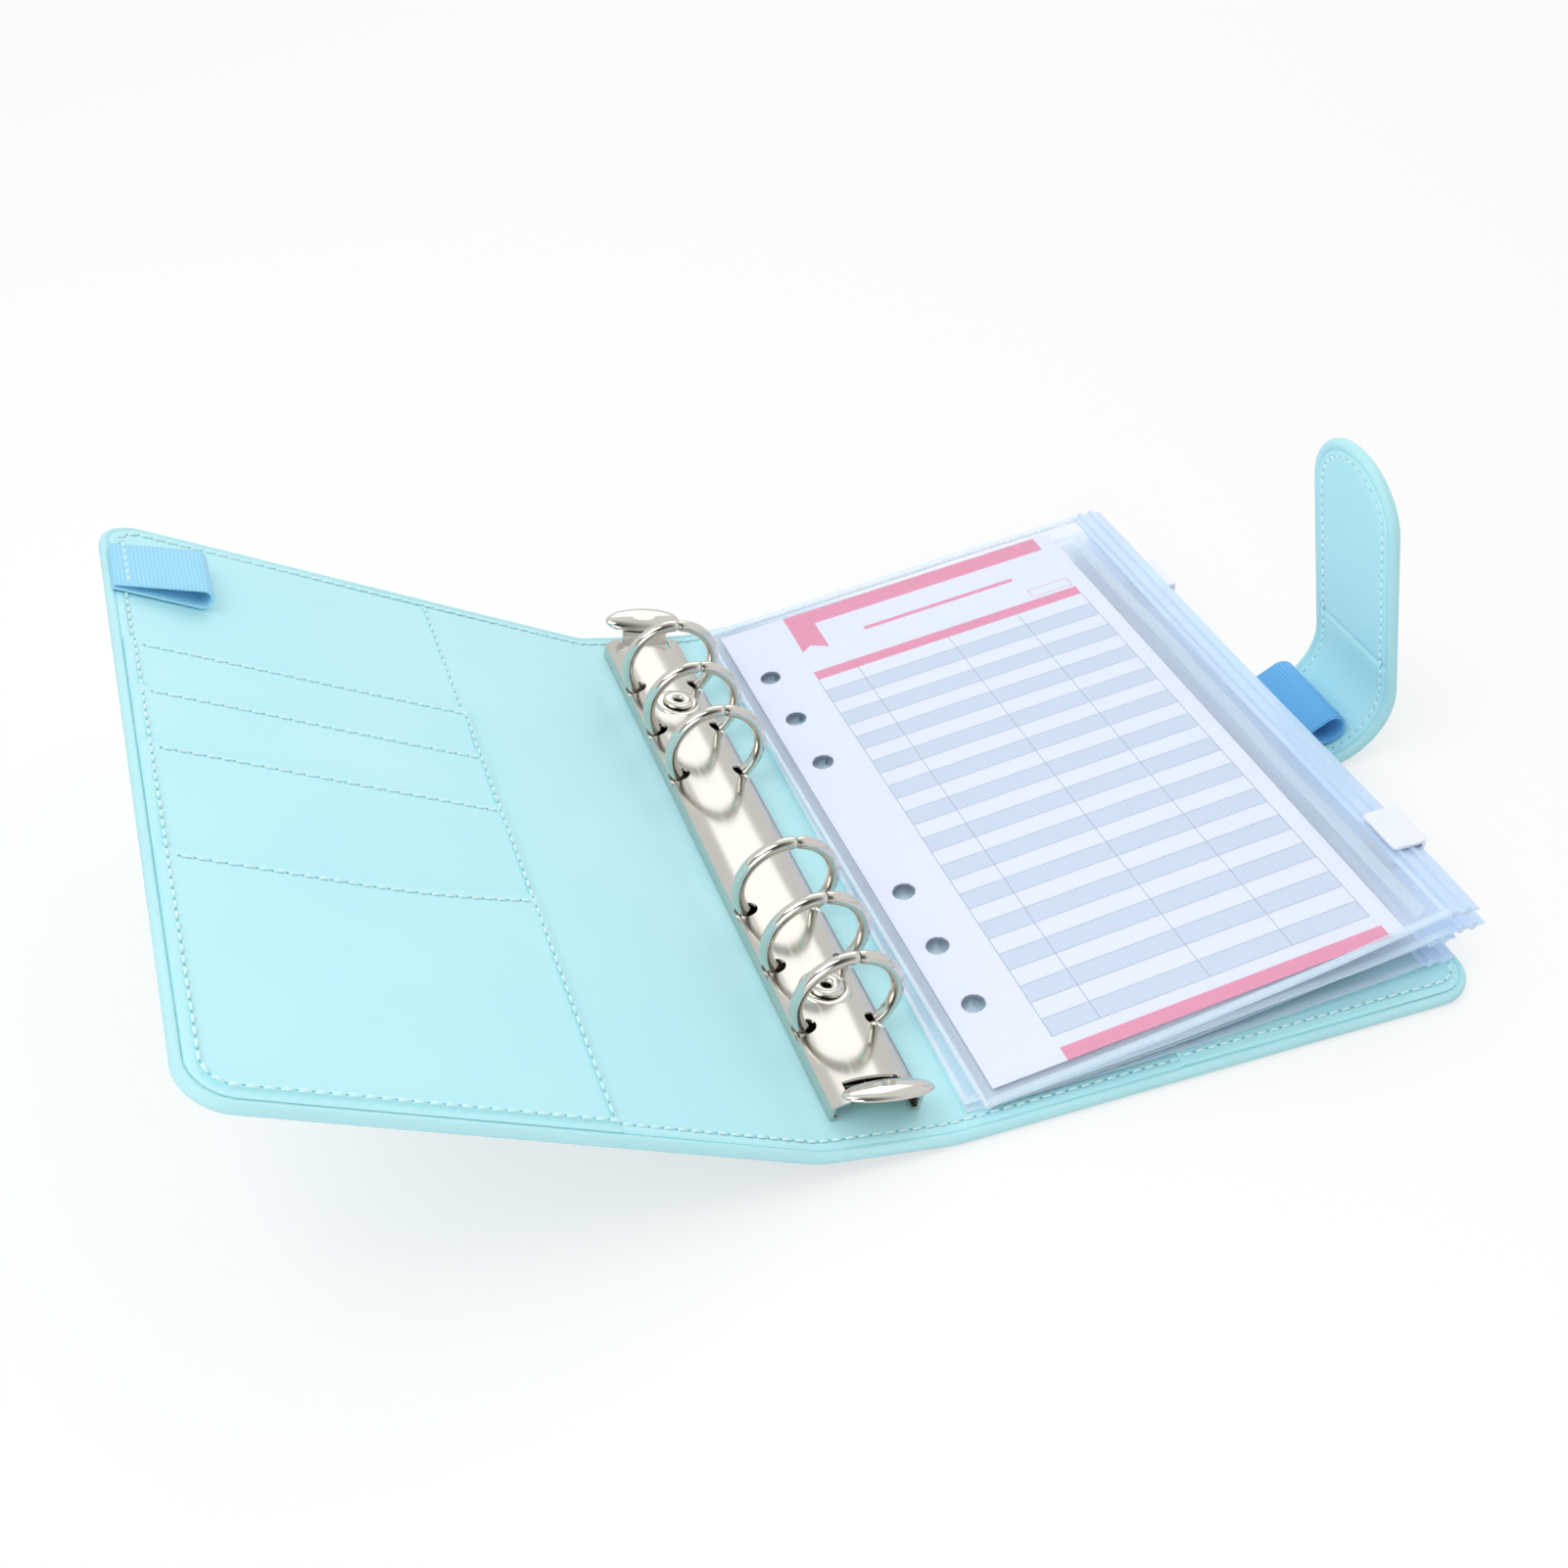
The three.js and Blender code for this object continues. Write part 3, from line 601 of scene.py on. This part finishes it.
def elastic(name, light, dark):
    """Woven elastic: matt, soft, ribs 0.9 mm apart along the band and warp threads 0.6 mm apart, which
    the rates give in radians per metre."""
    made, tree, surface = new_material(name)
    across = add(tree, "UVMap").outputs["UV"]
    parts = add(tree, "SeparateXYZ", {0: across})
    ribs = add(tree, "Math", {0: parts.outputs[0], 1: rib_rate}, operation="MULTIPLY")
    rib = add(tree, "Math", {0: ribs.outputs[0]}, operation="SINE")
    warps = add(tree, "Math", {0: parts.outputs[1], 1: warp_rate}, operation="MULTIPLY")
    warp = add(tree, "Math", {0: warps.outputs[0]}, operation="SINE")
    weave = add(tree, "Math", {0: rib.outputs[0], 1: 0.45, 2: warp.outputs[0]}, operation="MULTIPLY_ADD")
    spanned = add(tree, "MapRange", {"Value": weave.outputs[0], "From Min": -1.4, "From Max": 1.4})
    level = spanned.outputs["Result"]
    feed(tree, surface, {"Base Color": mix_colours(tree, level, colour(dark), colour(light)),
                         "Roughness": 0.75, "Sheen Weight": 0.25, "Sheen Roughness": 0.4,
                         "Normal": relief(tree, level, 0.5, 0.0002)})
    return made


def path_normal(path, i):
    """The unit normal of a path at its point i."""
    (a0, h0), (a1, h1) = path[max(0, i - 1)], path[min(len(path) - 1, i + 1)]
    size = math.hypot(a1 - a0, h1 - h0)
    return -(h1 - h0) / size, (a1 - a0) / size


def band(name, path, width, thickness, place, finish):
    """A woven band along a path of (a, h) points, with soft edges and its weave laid out in UVs."""
    half, t = width / 2, thickness / 2
    lower = [(-half + 0.5, -t), (-half / 2, -t), (0.0, -t), (half / 2, -t), (half - 0.5, -t),
             (half - 0.12, -t * 0.6), (half, 0.0), (half - 0.12, t * 0.6)]
    shape = lower + [(-y, -out) for y, out in lower]
    sections, lengths, run = [], [], 0.0
    for i, (a, h) in enumerate(path):
        na, nh = path_normal(path, i)
        run += math.hypot(a - path[i - 1][0], h - path[i - 1][1]) if i else 0.0
        sections.append([place(a + na * out, y, h + nh * out) for y, out in shape])
        lengths.append(run / 1000)
    piece = build(name, *loft(sections), finish)
    uv = piece.data.uv_layers.new(name="weave")
    for corner in piece.data.loops:
        uv.data[corner.index].uv = (lengths[corner.vertex_index // len(shape)],
                                    shape[corner.vertex_index % len(shape)][0] / 1000)
    return piece


def loop_path(reach, radius, thickness):
    """The centre line of a folded band: out along the base, round, and back to the sewn end."""
    t = thickness / 2
    slope = math.atan2(radius, reach)
    path = [(a, t) for a in spread(0.6, reach, 1.2)]
    path += [(reach + (radius - t) * math.cos(a), radius + (radius - t) * math.sin(a))
             for a in spread(-math.pi / 2 + 0.15, math.pi / 2 + slope, 0.16)]
    a0, h0 = path[-1]
    return path + [(a0 + (0.6 - a0) * k / 8, h0 + (3 * t + 0.1 - h0) * k / 8) for k in range(1, 9)]


blue_elastic = elastic("blue_woven_elastic", "#7fccff", "#4fa3e6")
strap_loop_start = 1.2
strap_loop_width = 26.0
strap_elastic = 1.1
strap_loop_lift = 1.1
strap_loop_seat = 2 * strap_layer + strap_level + strap_loop_lift

strap_loop = band("strap_pen_loop", loop_path(12.6, 4.3, strap_elastic), strap_loop_width, strap_elastic,
                  lambda a, y, h: (panel_width / 2 + strap_loop_start + a, strap_centre + 1 + y,
                                   strap_loop_seat + h), blue_elastic)
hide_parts("pen_loop_strap")
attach(strap_loop, "back_cover")
light_elastic = elastic("light_woven_elastic", "#b9edff", "#7ed2fb")
front_loop_start = 0.4
front_loop_seat = 1.75
front_elastic = 0.9

front_loop = band("front_pen_loop", loop_path(20.0, 2.7, front_elastic), front_loop_width, front_elastic,
                  lambda a, y, h: cover_point(free_edge[-1] + front_loop_start + a, front_loop_place + y,
                                              front_loop_seat + h), light_elastic)
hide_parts("pen_loop_front")
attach(front_loop, "front_cover")


# Grey board stiffens the three panels and steel discs make the magnetic catch; all lie inside.
def metal(name, code, scale, detail, low, high, drawn=1.0):
    """Metal whose roughness goes from low to high in soft smears."""
    made, tree, surface = new_material(name)
    smear = noise(tree, scale, detail, drawn)
    feed(tree, surface, {"Base Color": colour(code), "Metallic": 1.0,
                         "Roughness": scaled(tree, smear, low, high)})
    return made


grey_board, tree, surface = new_material("grey_board")
fibre = noise(tree, 700.0, 4.0)
feed(tree, surface, {"Base Color": mix_colours(tree, fibre, colour("#a9a294"), colour("#c4beb0")),
                     "Roughness": 0.9})
steel = metal("plain_steel", "#a8a8a8", 300.0, 2.0, 0.3, 0.45)


def dress(names, finish, sharp=35):
    """Gives CAD nodes their finish and smooth shading."""
    for name in names:
        mesh = nodes[name].data
        mesh.materials.clear()
        mesh.materials.append(finish)
        mesh.shade_smooth()
        mesh.set_sharp_from_angle(angle=math.radians(sharp))


dress(["back_cover_board", "spine_board", "front_cover_board"], grey_board)
dress(["cover_magnet", "strap_magnet"], steel)


# The ring mechanism is pressed steel, nickel plated and polished: an arched housing riveted through the
# spine, two toggle plates snapped inside it, six wire rings in halves on these, and a lever at each end.
# The rolled plates keep a satin sheen along their length, while the wire is polished bright.
nickel = metal("polished_nickel_plate", "#dcd8d0", 160.0, 5.0, 0.07, 0.17)
satin_nickel = metal("satin_nickel_plate", "#d1cec7", 300.0, 4.0, 0.12, 0.2, drawn=0.05)
plate_crown = 2.6
plate_half = 10.2
arch_radius = (plate_half ** 2 + plate_crown ** 2) / (2 * plate_crown)
spine_turn = corners[0][4]
mech_x = Vector((math.cos(spine_turn), 0, -math.sin(spine_turn)))
mech_z = Vector((math.sin(spine_turn), 0, math.cos(spine_turn)))
mech_height = 4.95
mech_origin = Vector(cover_point(spine_middle, 0, mech_height))


def mech_point(x, y, z):
    """A point of the mechanism: x across it, z above the foot of the arch."""
    return mech_origin + mech_x * x + Vector((0, y, 0)) + mech_z * z


dress(["ring_base_plate", "toggle_plate_left", "toggle_plate_right"], satin_nickel)
plate = nodes["ring_base_plate"].data
normals = [None] * len(plate.loops)
for polygon in plate.polygons:
    flat = Vector(polygon.normal)
    for index in polygon.loop_indices:
        spot = Vector(plate.vertices[plate.loops[index].vertex_index].co) * 1000 - mech_origin
        across, above = spot.dot(mech_x), spot.dot(mech_z)
        radial = (mech_x * across + mech_z * (above - plate_crown + arch_radius)).normalized()
        normals[index] = radial if flat.dot(radial) > 0.97 and above > -0.05 else flat
plate.normals_split_custom_set(normals)

ring_places = [63.5, 44.5, 25.5, -25.5, -44.5, -63.5]
ring_radius = 11.4
ring_height = 8.36
ring_steps = 48
wire = 1.5
wire_sides = 20
tip_gap = 0.3
toggle_level = -1.2
toggle_thickness = 0.8
layer_gap = 0.3
ring_foot = toggle_level + toggle_thickness / 2 + layer_gap + wire
for side, name in ((-1, "left"), (1, "right")):
    first = math.asin(tip_gap / 2 / ring_radius)
    final = math.pi - math.acos((ring_height - ring_foot) / ring_radius)
    for i, place_y in enumerate(ring_places):
        sections = []
        for k in range(ring_steps + 1):
            angle = first + (final - first) * k / ring_steps
            girth = wire * (0.84 if k == 0 else 0.97 if k == 1 else 1.0)
            out = Vector((side * math.sin(angle), math.cos(angle)))
            ring = []
            for j in range(wire_sides):
                around = 2 * math.pi * j / wire_sides
                r = ring_radius + girth * math.cos(around)
                ring.append(mech_point(out.x * r, place_y + girth * math.sin(around),
                                       ring_height + out.y * r))
            sections.append(ring)
        half_ring = build(f"wire_{name}_{i + 1}", *loft(sections), nickel, sharp=50)
        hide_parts(f"ring_{name}_{i + 1}")
        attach(half_ring, f"{name}_rings")


# Two eyelet rivets hold the housing down, each in a flat seat pressed into the arch.
def lathe(profile, place_y, count=48):
    """A solid turned from a closed profile of (radius, height) points, at place_y on the mechanism."""
    turns = [2 * math.pi * k / count for k in range(count)]
    return loft([[mech_point(r * math.cos(a), place_y + r * math.sin(a), z) for r, z in profile]
                 for a in turns], closed=True)


rivet_place = 54.0
eyelet = [(1.1, -4.55), (1.8, -4.55), (1.8, 2.95), (3.7, 2.95), (3.9, 3.05), (3.92, 3.25), (3.7, 3.5),
          (3.2, 3.7), (2.6, 3.8), (2.0, 3.8), (1.5, 3.68), (1.2, 3.4), (1.1, 3.0)]
seat = [(2.3, 2.4), (2.3, 2.66), (4.6, 2.68), (5.2, 2.64), (5.6, 2.5), (5.85, 2.2), (5.95, 1.7), (5.7, 1.6)]
for name, place_y in (("rivet_top", rivet_place), ("rivet_bottom", -rivet_place)):
    points, faces = lathe(eyelet, place_y)
    more, quads = lathe(seat, place_y)
    faces += [tuple(i + len(points) for i in f) for f in quads]
    eye = build(f"{name}_eyelet", points + more, faces, nickel)
    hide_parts(name)
    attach(eye, "spine")


# The opening levers stand in the ends of the housing; each ends in a domed half-moon thumb tab.
lever_line = [(80.6, -0.4), (82.2, -0.25), (83.5, 0.2), (84.3, 1.2), (84.9, 2.8), (85.5, 4.4), (86.4, 5.3),
              (88.0, 5.7)]
lever_half_thickness = 0.45
neck_half = 6.0
neck_flare = 1.6
tab_half_width = 10.3
tab_half_length = 3.9
tab_place = (88.1, 5.7)
tab_tilt = math.radians(20)
tab_sides = 56
# The tab's dome: part of its half size, and height, from the top over the rim to the hollow underside.
tab_dome = [(0.3, 1.82), (0.55, 1.6), (0.75, 1.25), (0.9, 0.82), (0.97, 0.45), (1.0, 0.05), (0.985, -0.3),
            (0.93, -0.35), (0.75, 0.1), (0.5, 0.55)]


def lever(name, node, body, end):
    """The lever at one end of the housing, end 1 or -1: a bent neck and its thumb tab."""
    place = lambda x, y, z: mech_point(end * x, end * y, z)
    sections = []
    for i, (y, z) in enumerate(lever_line):
        ny, nz = (part * lever_half_thickness for part in path_normal(lever_line, i))
        wide = neck_half + (neck_flare if i > 5 else 0.0)
        outline = ((-wide, -1), (wide, -1), (wide + 0.15, 0), (wide, 1), (-wide, 1), (-wide - 0.15, 0))
        sections.append([place(x, y + ny * up, z + nz * up) for x, up in outline])
    points, faces = loft(sections)
    start = len(points)
    for r, up in tab_dome:
        for k in range(tab_sides):
            angle = 2 * math.pi * k / tab_sides
            x, y = tab_half_width * r * math.cos(angle), tab_half_length * r * math.sin(angle)
            points.append(place(x, tab_place[0] + y * math.cos(tab_tilt) - up * math.sin(tab_tilt),
                                tab_place[1] + y * math.sin(tab_tilt) + up * math.cos(tab_tilt)))
    for a in range(start, len(points) - tab_sides, tab_sides):
        faces += [(a + k, a + (k + 1) % tab_sides, a + tab_sides + (k + 1) % tab_sides, a + tab_sides + k)
                  for k in range(tab_sides)]
    faces.append(tuple(range(start, start + tab_sides)))
    faces.append(tuple(range(len(points) - 1, len(points) - 1 - tab_sides, -1)))
    piece = build(name, points, faces, nickel, sharp=60)
    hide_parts(node)
    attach(piece, body)


lever("thumb_lever_top", "lever_top", "top_lever", 1)
lever("thumb_lever_bottom", "lever_bottom", "bottom_lever", -1)


# Five zip pouches of clear soft vinyl lie loose on the back cover, one on the other and slightly askew.
# Each is two films welded round the edge, punched for the rings, with a press-to-close rail at the right.
# The lower four are empty and pressed flat, so their two films are drawn as one.
def vinyl(name, code, veil, edge_gain):
    """Soft vinyl film: clear with a faint blue cast, glossy, creased along its length. It passes most of
    the light that falls on it to what lies below."""
    made, tree, surface = new_material(name)
    creased = relief(tree, noise(tree, 90.0, 3.0, drawn=0.12), 0.35, 0.0012)
    rim = add(tree, "LayerWeight", {"Blend": 0.35, "Normal": creased})
    cover = add(tree, "MapRange", {"Value": rim.outputs["Fresnel"], "From Min": 0.0, "From Max": 0.7,
                                   "To Min": veil, "To Max": min(1.0, veil + edge_gain)})
    shadow = add(tree, "LightPath").outputs["Is Shadow Ray"]
    passed = add(tree, "Math", {0: shadow, 1: -0.9, 2: 1.0}, operation="MULTIPLY_ADD")
    seen = add(tree, "Math", {0: cover.outputs["Result"], 1: passed.outputs[0]}, operation="MULTIPLY")
    feed(tree, surface, {"Base Color": colour(code), "Roughness": 0.14, "IOR": 1.5, "Alpha": seen.outputs[0],
                         "Normal": creased})
    return made


stacked_film = vinyl("stacked_vinyl_film", "#e2efff", 0.32, 0.36)
cover_film = vinyl("clear_vinyl_cover_film", "#f2f8ff", 0.05, 0.35)
rail_vinyl = vinyl("blue_tinted_rail_vinyl", "#d2e7ff", 0.5, 0.35)
weld_vinyl = vinyl("welded_vinyl_edge", "#e6f6ff", 0.3, 0.36)
pouch_half = 90.0
pouch_left = 6.3 - panel_width / 2
rail_left = panel_width / 2 - 9.0
rail_width = 6.0
hole_place = pouch_left + 9.6
rail_centres = [5.3, 7.9, 10.5, 14.35, 19.3]
pouch_turns = [-0.9, 1.4, -0.4, 0.5, 0.95]
pouch_shifts = [(0, -0.6), (1, 0.8), (-0.8, 1.2), (3.5, -0.4), (0, -0.8)]
film_level = 2 * board_level + layer_gap
film_lift = 0.1
top_film_lift = 1.15
strip_width = 16.0
belly_reach = 96.0
foot_rise = [5.0, 6.0, 4.0, 3.3, 3.3]
punch_radius = 2.6
top_pouch = 4


def film_height(i, x):
    """The height of a pouch's film, which rises evenly to its rail."""
    low = film_level + 0.5 * i
    return low + (rail_centres[i] - 0.1 - low) * (x - pouch_left) / (rail_left - pouch_left)


def pouch_point(i, x, y, z):
    """A pouch's own point, turned and shifted as the pouch lies."""
    turn = math.radians(pouch_turns[i])
    dx, dy = pouch_shifts[i]
    return x * math.cos(turn) - y * math.sin(turn) + dx, x * math.sin(turn) + y * math.cos(turn) + dy, z


def punched(left, end, half, radius):
    """A flat strip with the six ring holes, as points in x and y with triangles."""
    outline = [(left, y) for y in spread(-half, half, 6)] + [(end, y) for y in spread(half, -half, 6)]
    points = [Vector(p) for p in outline]
    edges = [(i, (i + 1) % len(outline)) for i in range(len(outline))]
    for place_y in ring_places:
        start = len(points)
        points += [Vector((hole_place + radius * math.cos(k * math.pi / 16),
                           place_y + radius * math.sin(k * math.pi / 16))) for k in range(32)]
        edges += [(start + k, start + (k + 1) % 32) for k in range(32)]
    found = delaunay_2d_cdt(points, edges, [], 0, 1e-5)
    kept = []
    for face in found[2]:
        cx = sum(found[0][k].x for k in face) / len(face)
        cy = sum(found[0][k].y for k in face) / len(face)
        if all(math.hypot(cx - hole_place, cy - y) > radius * 0.97 for y in ring_places):
            kept.append(tuple(face))
    return [(p.x, p.y) for p in found[0]], kept


def film_wave(i, x, y):
    """The films belly a little, more towards the rail, where they lie further apart."""
    reach = max(0.0, (x - pouch_left - strip_width) / belly_reach)
    return reach * (0.32 * math.sin(y / 15 + i * 1.7) + 0.2 * math.sin(y / 6.3 + x / 9 + i))


def foot(i, x):
    """The lower edge of a limp pouch, which draws up a little towards the rail."""
    part = max(0.0, (x - pouch_left - strip_width) / (rail_left - pouch_left - strip_width))
    return -pouch_half + foot_rise[i] * min(1.0, part) ** 2


def film_sheet(name, i, lift, finish):
    """One film of a pouch: the punched strip, and the body out to the rail."""
    flat, faces = punched(pouch_left, pouch_left + strip_width, pouch_half, punch_radius)
    points = [pouch_point(i, x, y, film_height(i, x) + lift) for x, y in flat]
    columns = spread(pouch_left + strip_width, rail_left, 4)
    rows = spread(0.0, 1.0, 0.022)
    start = len(points)
    for x in columns:
        for part in rows:
            y = foot(i, x) + (pouch_half - foot(i, x)) * part
            points.append(pouch_point(i, x, y, film_height(i, x) + lift + film_wave(i, x, y)))
    faces += [tuple(k + start for k in f) for f in grid(len(columns), len(rows))]
    return build(name, points, faces, finish)


def weld_shape(width):
    """The cross-section of a weld: its place in from the edge, and part of its half height."""
    return ((0.0, -1), (width - 0.2, -1), (width, 0), (width - 0.2, 1), (0.0, 1), (-0.15, 0))


rail_under = [(-1.2, -0.14), (0.2, -0.3), (0.8, -1.1), (1.7, -1.12), (2.2, -0.4), (3.6, -0.4), (4.1, -1.12),
              (5.0, -1.1), (5.6, -0.3), (7.5, -0.14)]
rail_shape = rail_under + [(a, -h) for a, h in reversed(rail_under)]
for i, centre in enumerate(rail_centres):
    number = i + 1
    if i == top_pouch:
        film = film_sheet(f"pouch_{number}_under", i, film_lift, stacked_film)
        over = film_sheet(f"pouch_{number}_over", i, top_film_lift, cover_film)
        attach(over, "back_cover")
    else:
        film = film_sheet(f"pouch_{number}_film", i, film_lift, stacked_film)
    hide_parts(f"pouch_{number}")
    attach(film, "back_cover")
    sections = [[pouch_point(i, rail_left + a, y, centre + h + 0.25 * math.sin(y / 22 + i))
                 for a, h in rail_shape] for y in spread(foot(i, rail_left), pouch_half, 5)]
    rail = build(f"pouch_{number}_rail", *loft(sections), rail_vinyl)
    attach(rail, "back_cover")
    lift, tall = (0.62, 0.55) if i == top_pouch else (0.1, 0.16)
    for end, label in ((-1, "foot"), (1, "head")):
        sections = []
        for x in spread(pouch_left, rail_left, 4):
            z = film_height(i, x) + lift
            edge = foot(i, x) if end < 0 else pouch_half
            sections.append([pouch_point(i, x, edge - end * a, z + h * tall + film_wave(i, x, edge))
                             for a, h in weld_shape(1.7)])
        weld = build(f"pouch_{number}_{label}_weld", *loft(sections), weld_vinyl)
        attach(weld, "back_cover")
    lift, tall = (0.5, 0.42) if i == top_pouch else (0.1, 0.16)
    sections = [[pouch_point(i, pouch_left + a, y, film_height(i, pouch_left) + lift + h * tall)
                 for a, h in weld_shape(1.1)] for y in spread(-pouch_half, pouch_half, 5)]
    weld = build(f"pouch_{number}_side_weld", *loft(sections), weld_vinyl)
    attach(weld, "back_cover")


# A hatched band beside the sheet is pressed into the top film, where the rail strip is welded on.
hatch_left = rail_left - 7.5
hatch_rows = [i * 0.55 - 85.0 for i in range(315)]
points = []
for a, lift in ((0.0, 0.02), (0.5, 0.2), (2.6, 0.2), (3.1, 0.02)):
    for k, y in enumerate(hatch_rows):
        x = hatch_left + a
        z = film_height(top_pouch, x) + film_wave(top_pouch, x, y) + top_film_lift + lift * (k % 2)
        points.append(pouch_point(top_pouch, x, y + 0.5 * a, z + 0.03))
hatch = build("pouch_5_hatched_band", points, grid(4, len(hatch_rows)), weld_vinyl)
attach(hatch, "back_cover")


# The planner sheet is white printed paper inside the top pouch, punched with the same six holes.
# The print is a ruled table with tinted rows, a ribbon band over it and a band at its foot.
def ink(name, code, fleck=0.03):
    """Offset print on smooth matt paper. The fibre shows a little, and thin paper passes some light."""
    made, tree, surface = new_material(name)
    base = colour(code)
    deeper = [c * (1 - fleck) for c in base[:3]] + [1.0]
    tone = mix_colours(tree, noise(tree, 1500.0), deeper, base)
    shadow = add(tree, "LightPath").outputs["Is Shadow Ray"]
    passed = add(tree, "Math", {0: shadow, 1: -0.4, 2: 1.0}, operation="MULTIPLY_ADD")
    feed(tree, surface, {"Base Color": tone, "Roughness": 0.6, "Alpha": passed.outputs[0]})
    return made


inks = [ink("white_paper", "#eaf0ff"), ink("pale_blue_print", "#d3dff0"), ink("pink_print", "#ec9ab9"),
        ink("grey_line_print", "#a3b2c6")]
white_ink, blue_ink, pink_ink, grey_ink = range(4)
sheet_left, sheet_right, sheet_half = -6.25, 92.15, 86.3
table_left, table_right, table_top, table_foot = 10.9, 87.6, 56.5, -79.2
row_count = 26
line_half = 0.09
box_line = 0.2
paper_lift = 0.74
ribbon_lift = 0.77
fields = [(table_left, table_right, table_top, 60.1, pink_ink), (11.8, 87.5, 80.0, 86.0, pink_ink),
          (10.9, 88.2, -86.3, -82.6, pink_ink)]
row_height = (table_top - table_foot) / row_count
row_feet = [table_top - row * row_height for row in range(1, row_count + 1)]
fields += [(table_left, table_right, low, low + row_height, blue_ink) for low in row_feet[1::2]]
fields += [(table_left, table_right, low - line_half, low + line_half, grey_ink) for low in row_feet]
fields += [(u - line_half, u + line_half, table_foot, table_top, grey_ink)
           for u in (table_left, 22.2, 48.3, 68.5, table_right)]
box_left, box_right, box_low, box_high = 75.5, 87.2, 61.2, 64.8
fields += [(box_left, box_right, box_low, box_low + box_line, pink_ink),
           (box_left, box_right, box_high - box_line, box_high, pink_ink),
           (box_left, box_left + box_line, box_low, box_high, pink_ink),
           (box_right - box_line, box_right, box_low, box_high, pink_ink),
           (30.0, 74.0, 70.6, 72.0, pink_ink)]


def sheet_point(u, v, lift):
    """A point of the sheet, u across it from its holes and v up the page."""
    x = hole_place + u
    return pouch_point(top_pouch, x, v, film_height(top_pouch, x) + lift)


strip_end = 9.0
sheet_punch_radius = 2.75
flat, faces = punched(hole_place + sheet_left, hole_place + strip_end, sheet_half, sheet_punch_radius)
points = [sheet_point(x - hole_place, y, paper_lift) for x, y in flat]
marks = [white_ink] * len(faces)
columns = sorted({strip_end, sheet_right, *(f[0] for f in fields), *(f[1] for f in fields)})
rows = sorted({-sheet_half, sheet_half, *(f[2] for f in fields), *(f[3] for f in fields)})
start = len(points)
points += [sheet_point(u, v, paper_lift) for u in columns for v in rows]
for a in range(len(columns) - 1):
    for b in range(len(rows) - 1):
        u, v = (columns[a] + columns[a + 1]) / 2, (rows[b] + rows[b + 1]) / 2
        here = [f[4] for f in fields if f[0] < u < f[1] and f[2] < v < f[3]]
        marks.append(here[-1] if here else white_ink)
        k = start + a * len(rows) + b
        faces.append((k, k + len(rows), k + len(rows) + 1, k + 1))
paper = build("planner_paper", points, faces, inks, marks)
paper.data.shade_flat()
thick = paper.modifiers.new("thickness", "SOLIDIFY")
thick.thickness = 0.0002
thick.offset = -1.0
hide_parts("planner_sheet")
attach(paper, "back_cover")
tail = [(11.8, 80.1), (11.5, 69.4), (14.4, 71.4), (18.7, 68.5), (18.9, 80.1)]
ribbon = build("ribbon_print", [sheet_point(u, v, ribbon_lift) for u, v in tail], [(0, 1, 2, 3, 4)],
               inks[pink_ink])
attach(ribbon, "back_cover")


# The sliders are small white moulded clips that run along the rails and press them shut.
slider_plastic, tree, surface = new_material("white_moulded_polyethylene")
feed(tree, surface, {"Base Color": colour("#f2f7ff"), "Roughness": 0.28,
                     "Normal": relief(tree, noise(tree, 400.0), 0.1, 0.0001),
                     "Subsurface Weight": 0.1, "Subsurface Radius": (0.002, 0.002, 0.002)})
upper_slider_place = -59.0
lower_slider_place = 60.0
# Along a slider: place from its middle, and how far its sides draw in there.
slider_ends = [(-6.5, 0.6), (-6.3, 0.3), (-5.6, 0.0), (5.6, 0.0), (6.3, 0.3), (6.5, 0.6)]


def slider(name, node, body, i, place_y):
    """A C-shaped clip round the rail, open at its left."""
    centre = rail_centres[i]
    inner, outer = 1.45, 2.35
    right_in, right_out = rail_width + 1.8, rail_width + 2.7
    shape = [(-0.3, -outer), (right_out, -outer), (right_out, outer), (-0.3, outer), (-0.3, inner),
             (right_in, inner), (right_in, -inner), (-0.3, -inner)]
    sections = [[pouch_point(i, rail_left + a - trim * (1 if a > 0 else -1.5), place_y + y, centre + h)
                 for a, h in shape] for y, trim in slider_ends]
    piece = build(name, *loft(sections), slider_plastic)
    soft = piece.modifiers.new("rounded_edges", "BEVEL")
    soft.width = 0.0004
    soft.segments = 3
    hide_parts(node)
    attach(piece, body)


slider("slider_clip_upper", "slider_upper", "upper_slider", top_pouch, upper_slider_place)
slider("slider_clip_lower", "slider_lower", "lower_slider", top_pouch - 1, lower_slider_place)
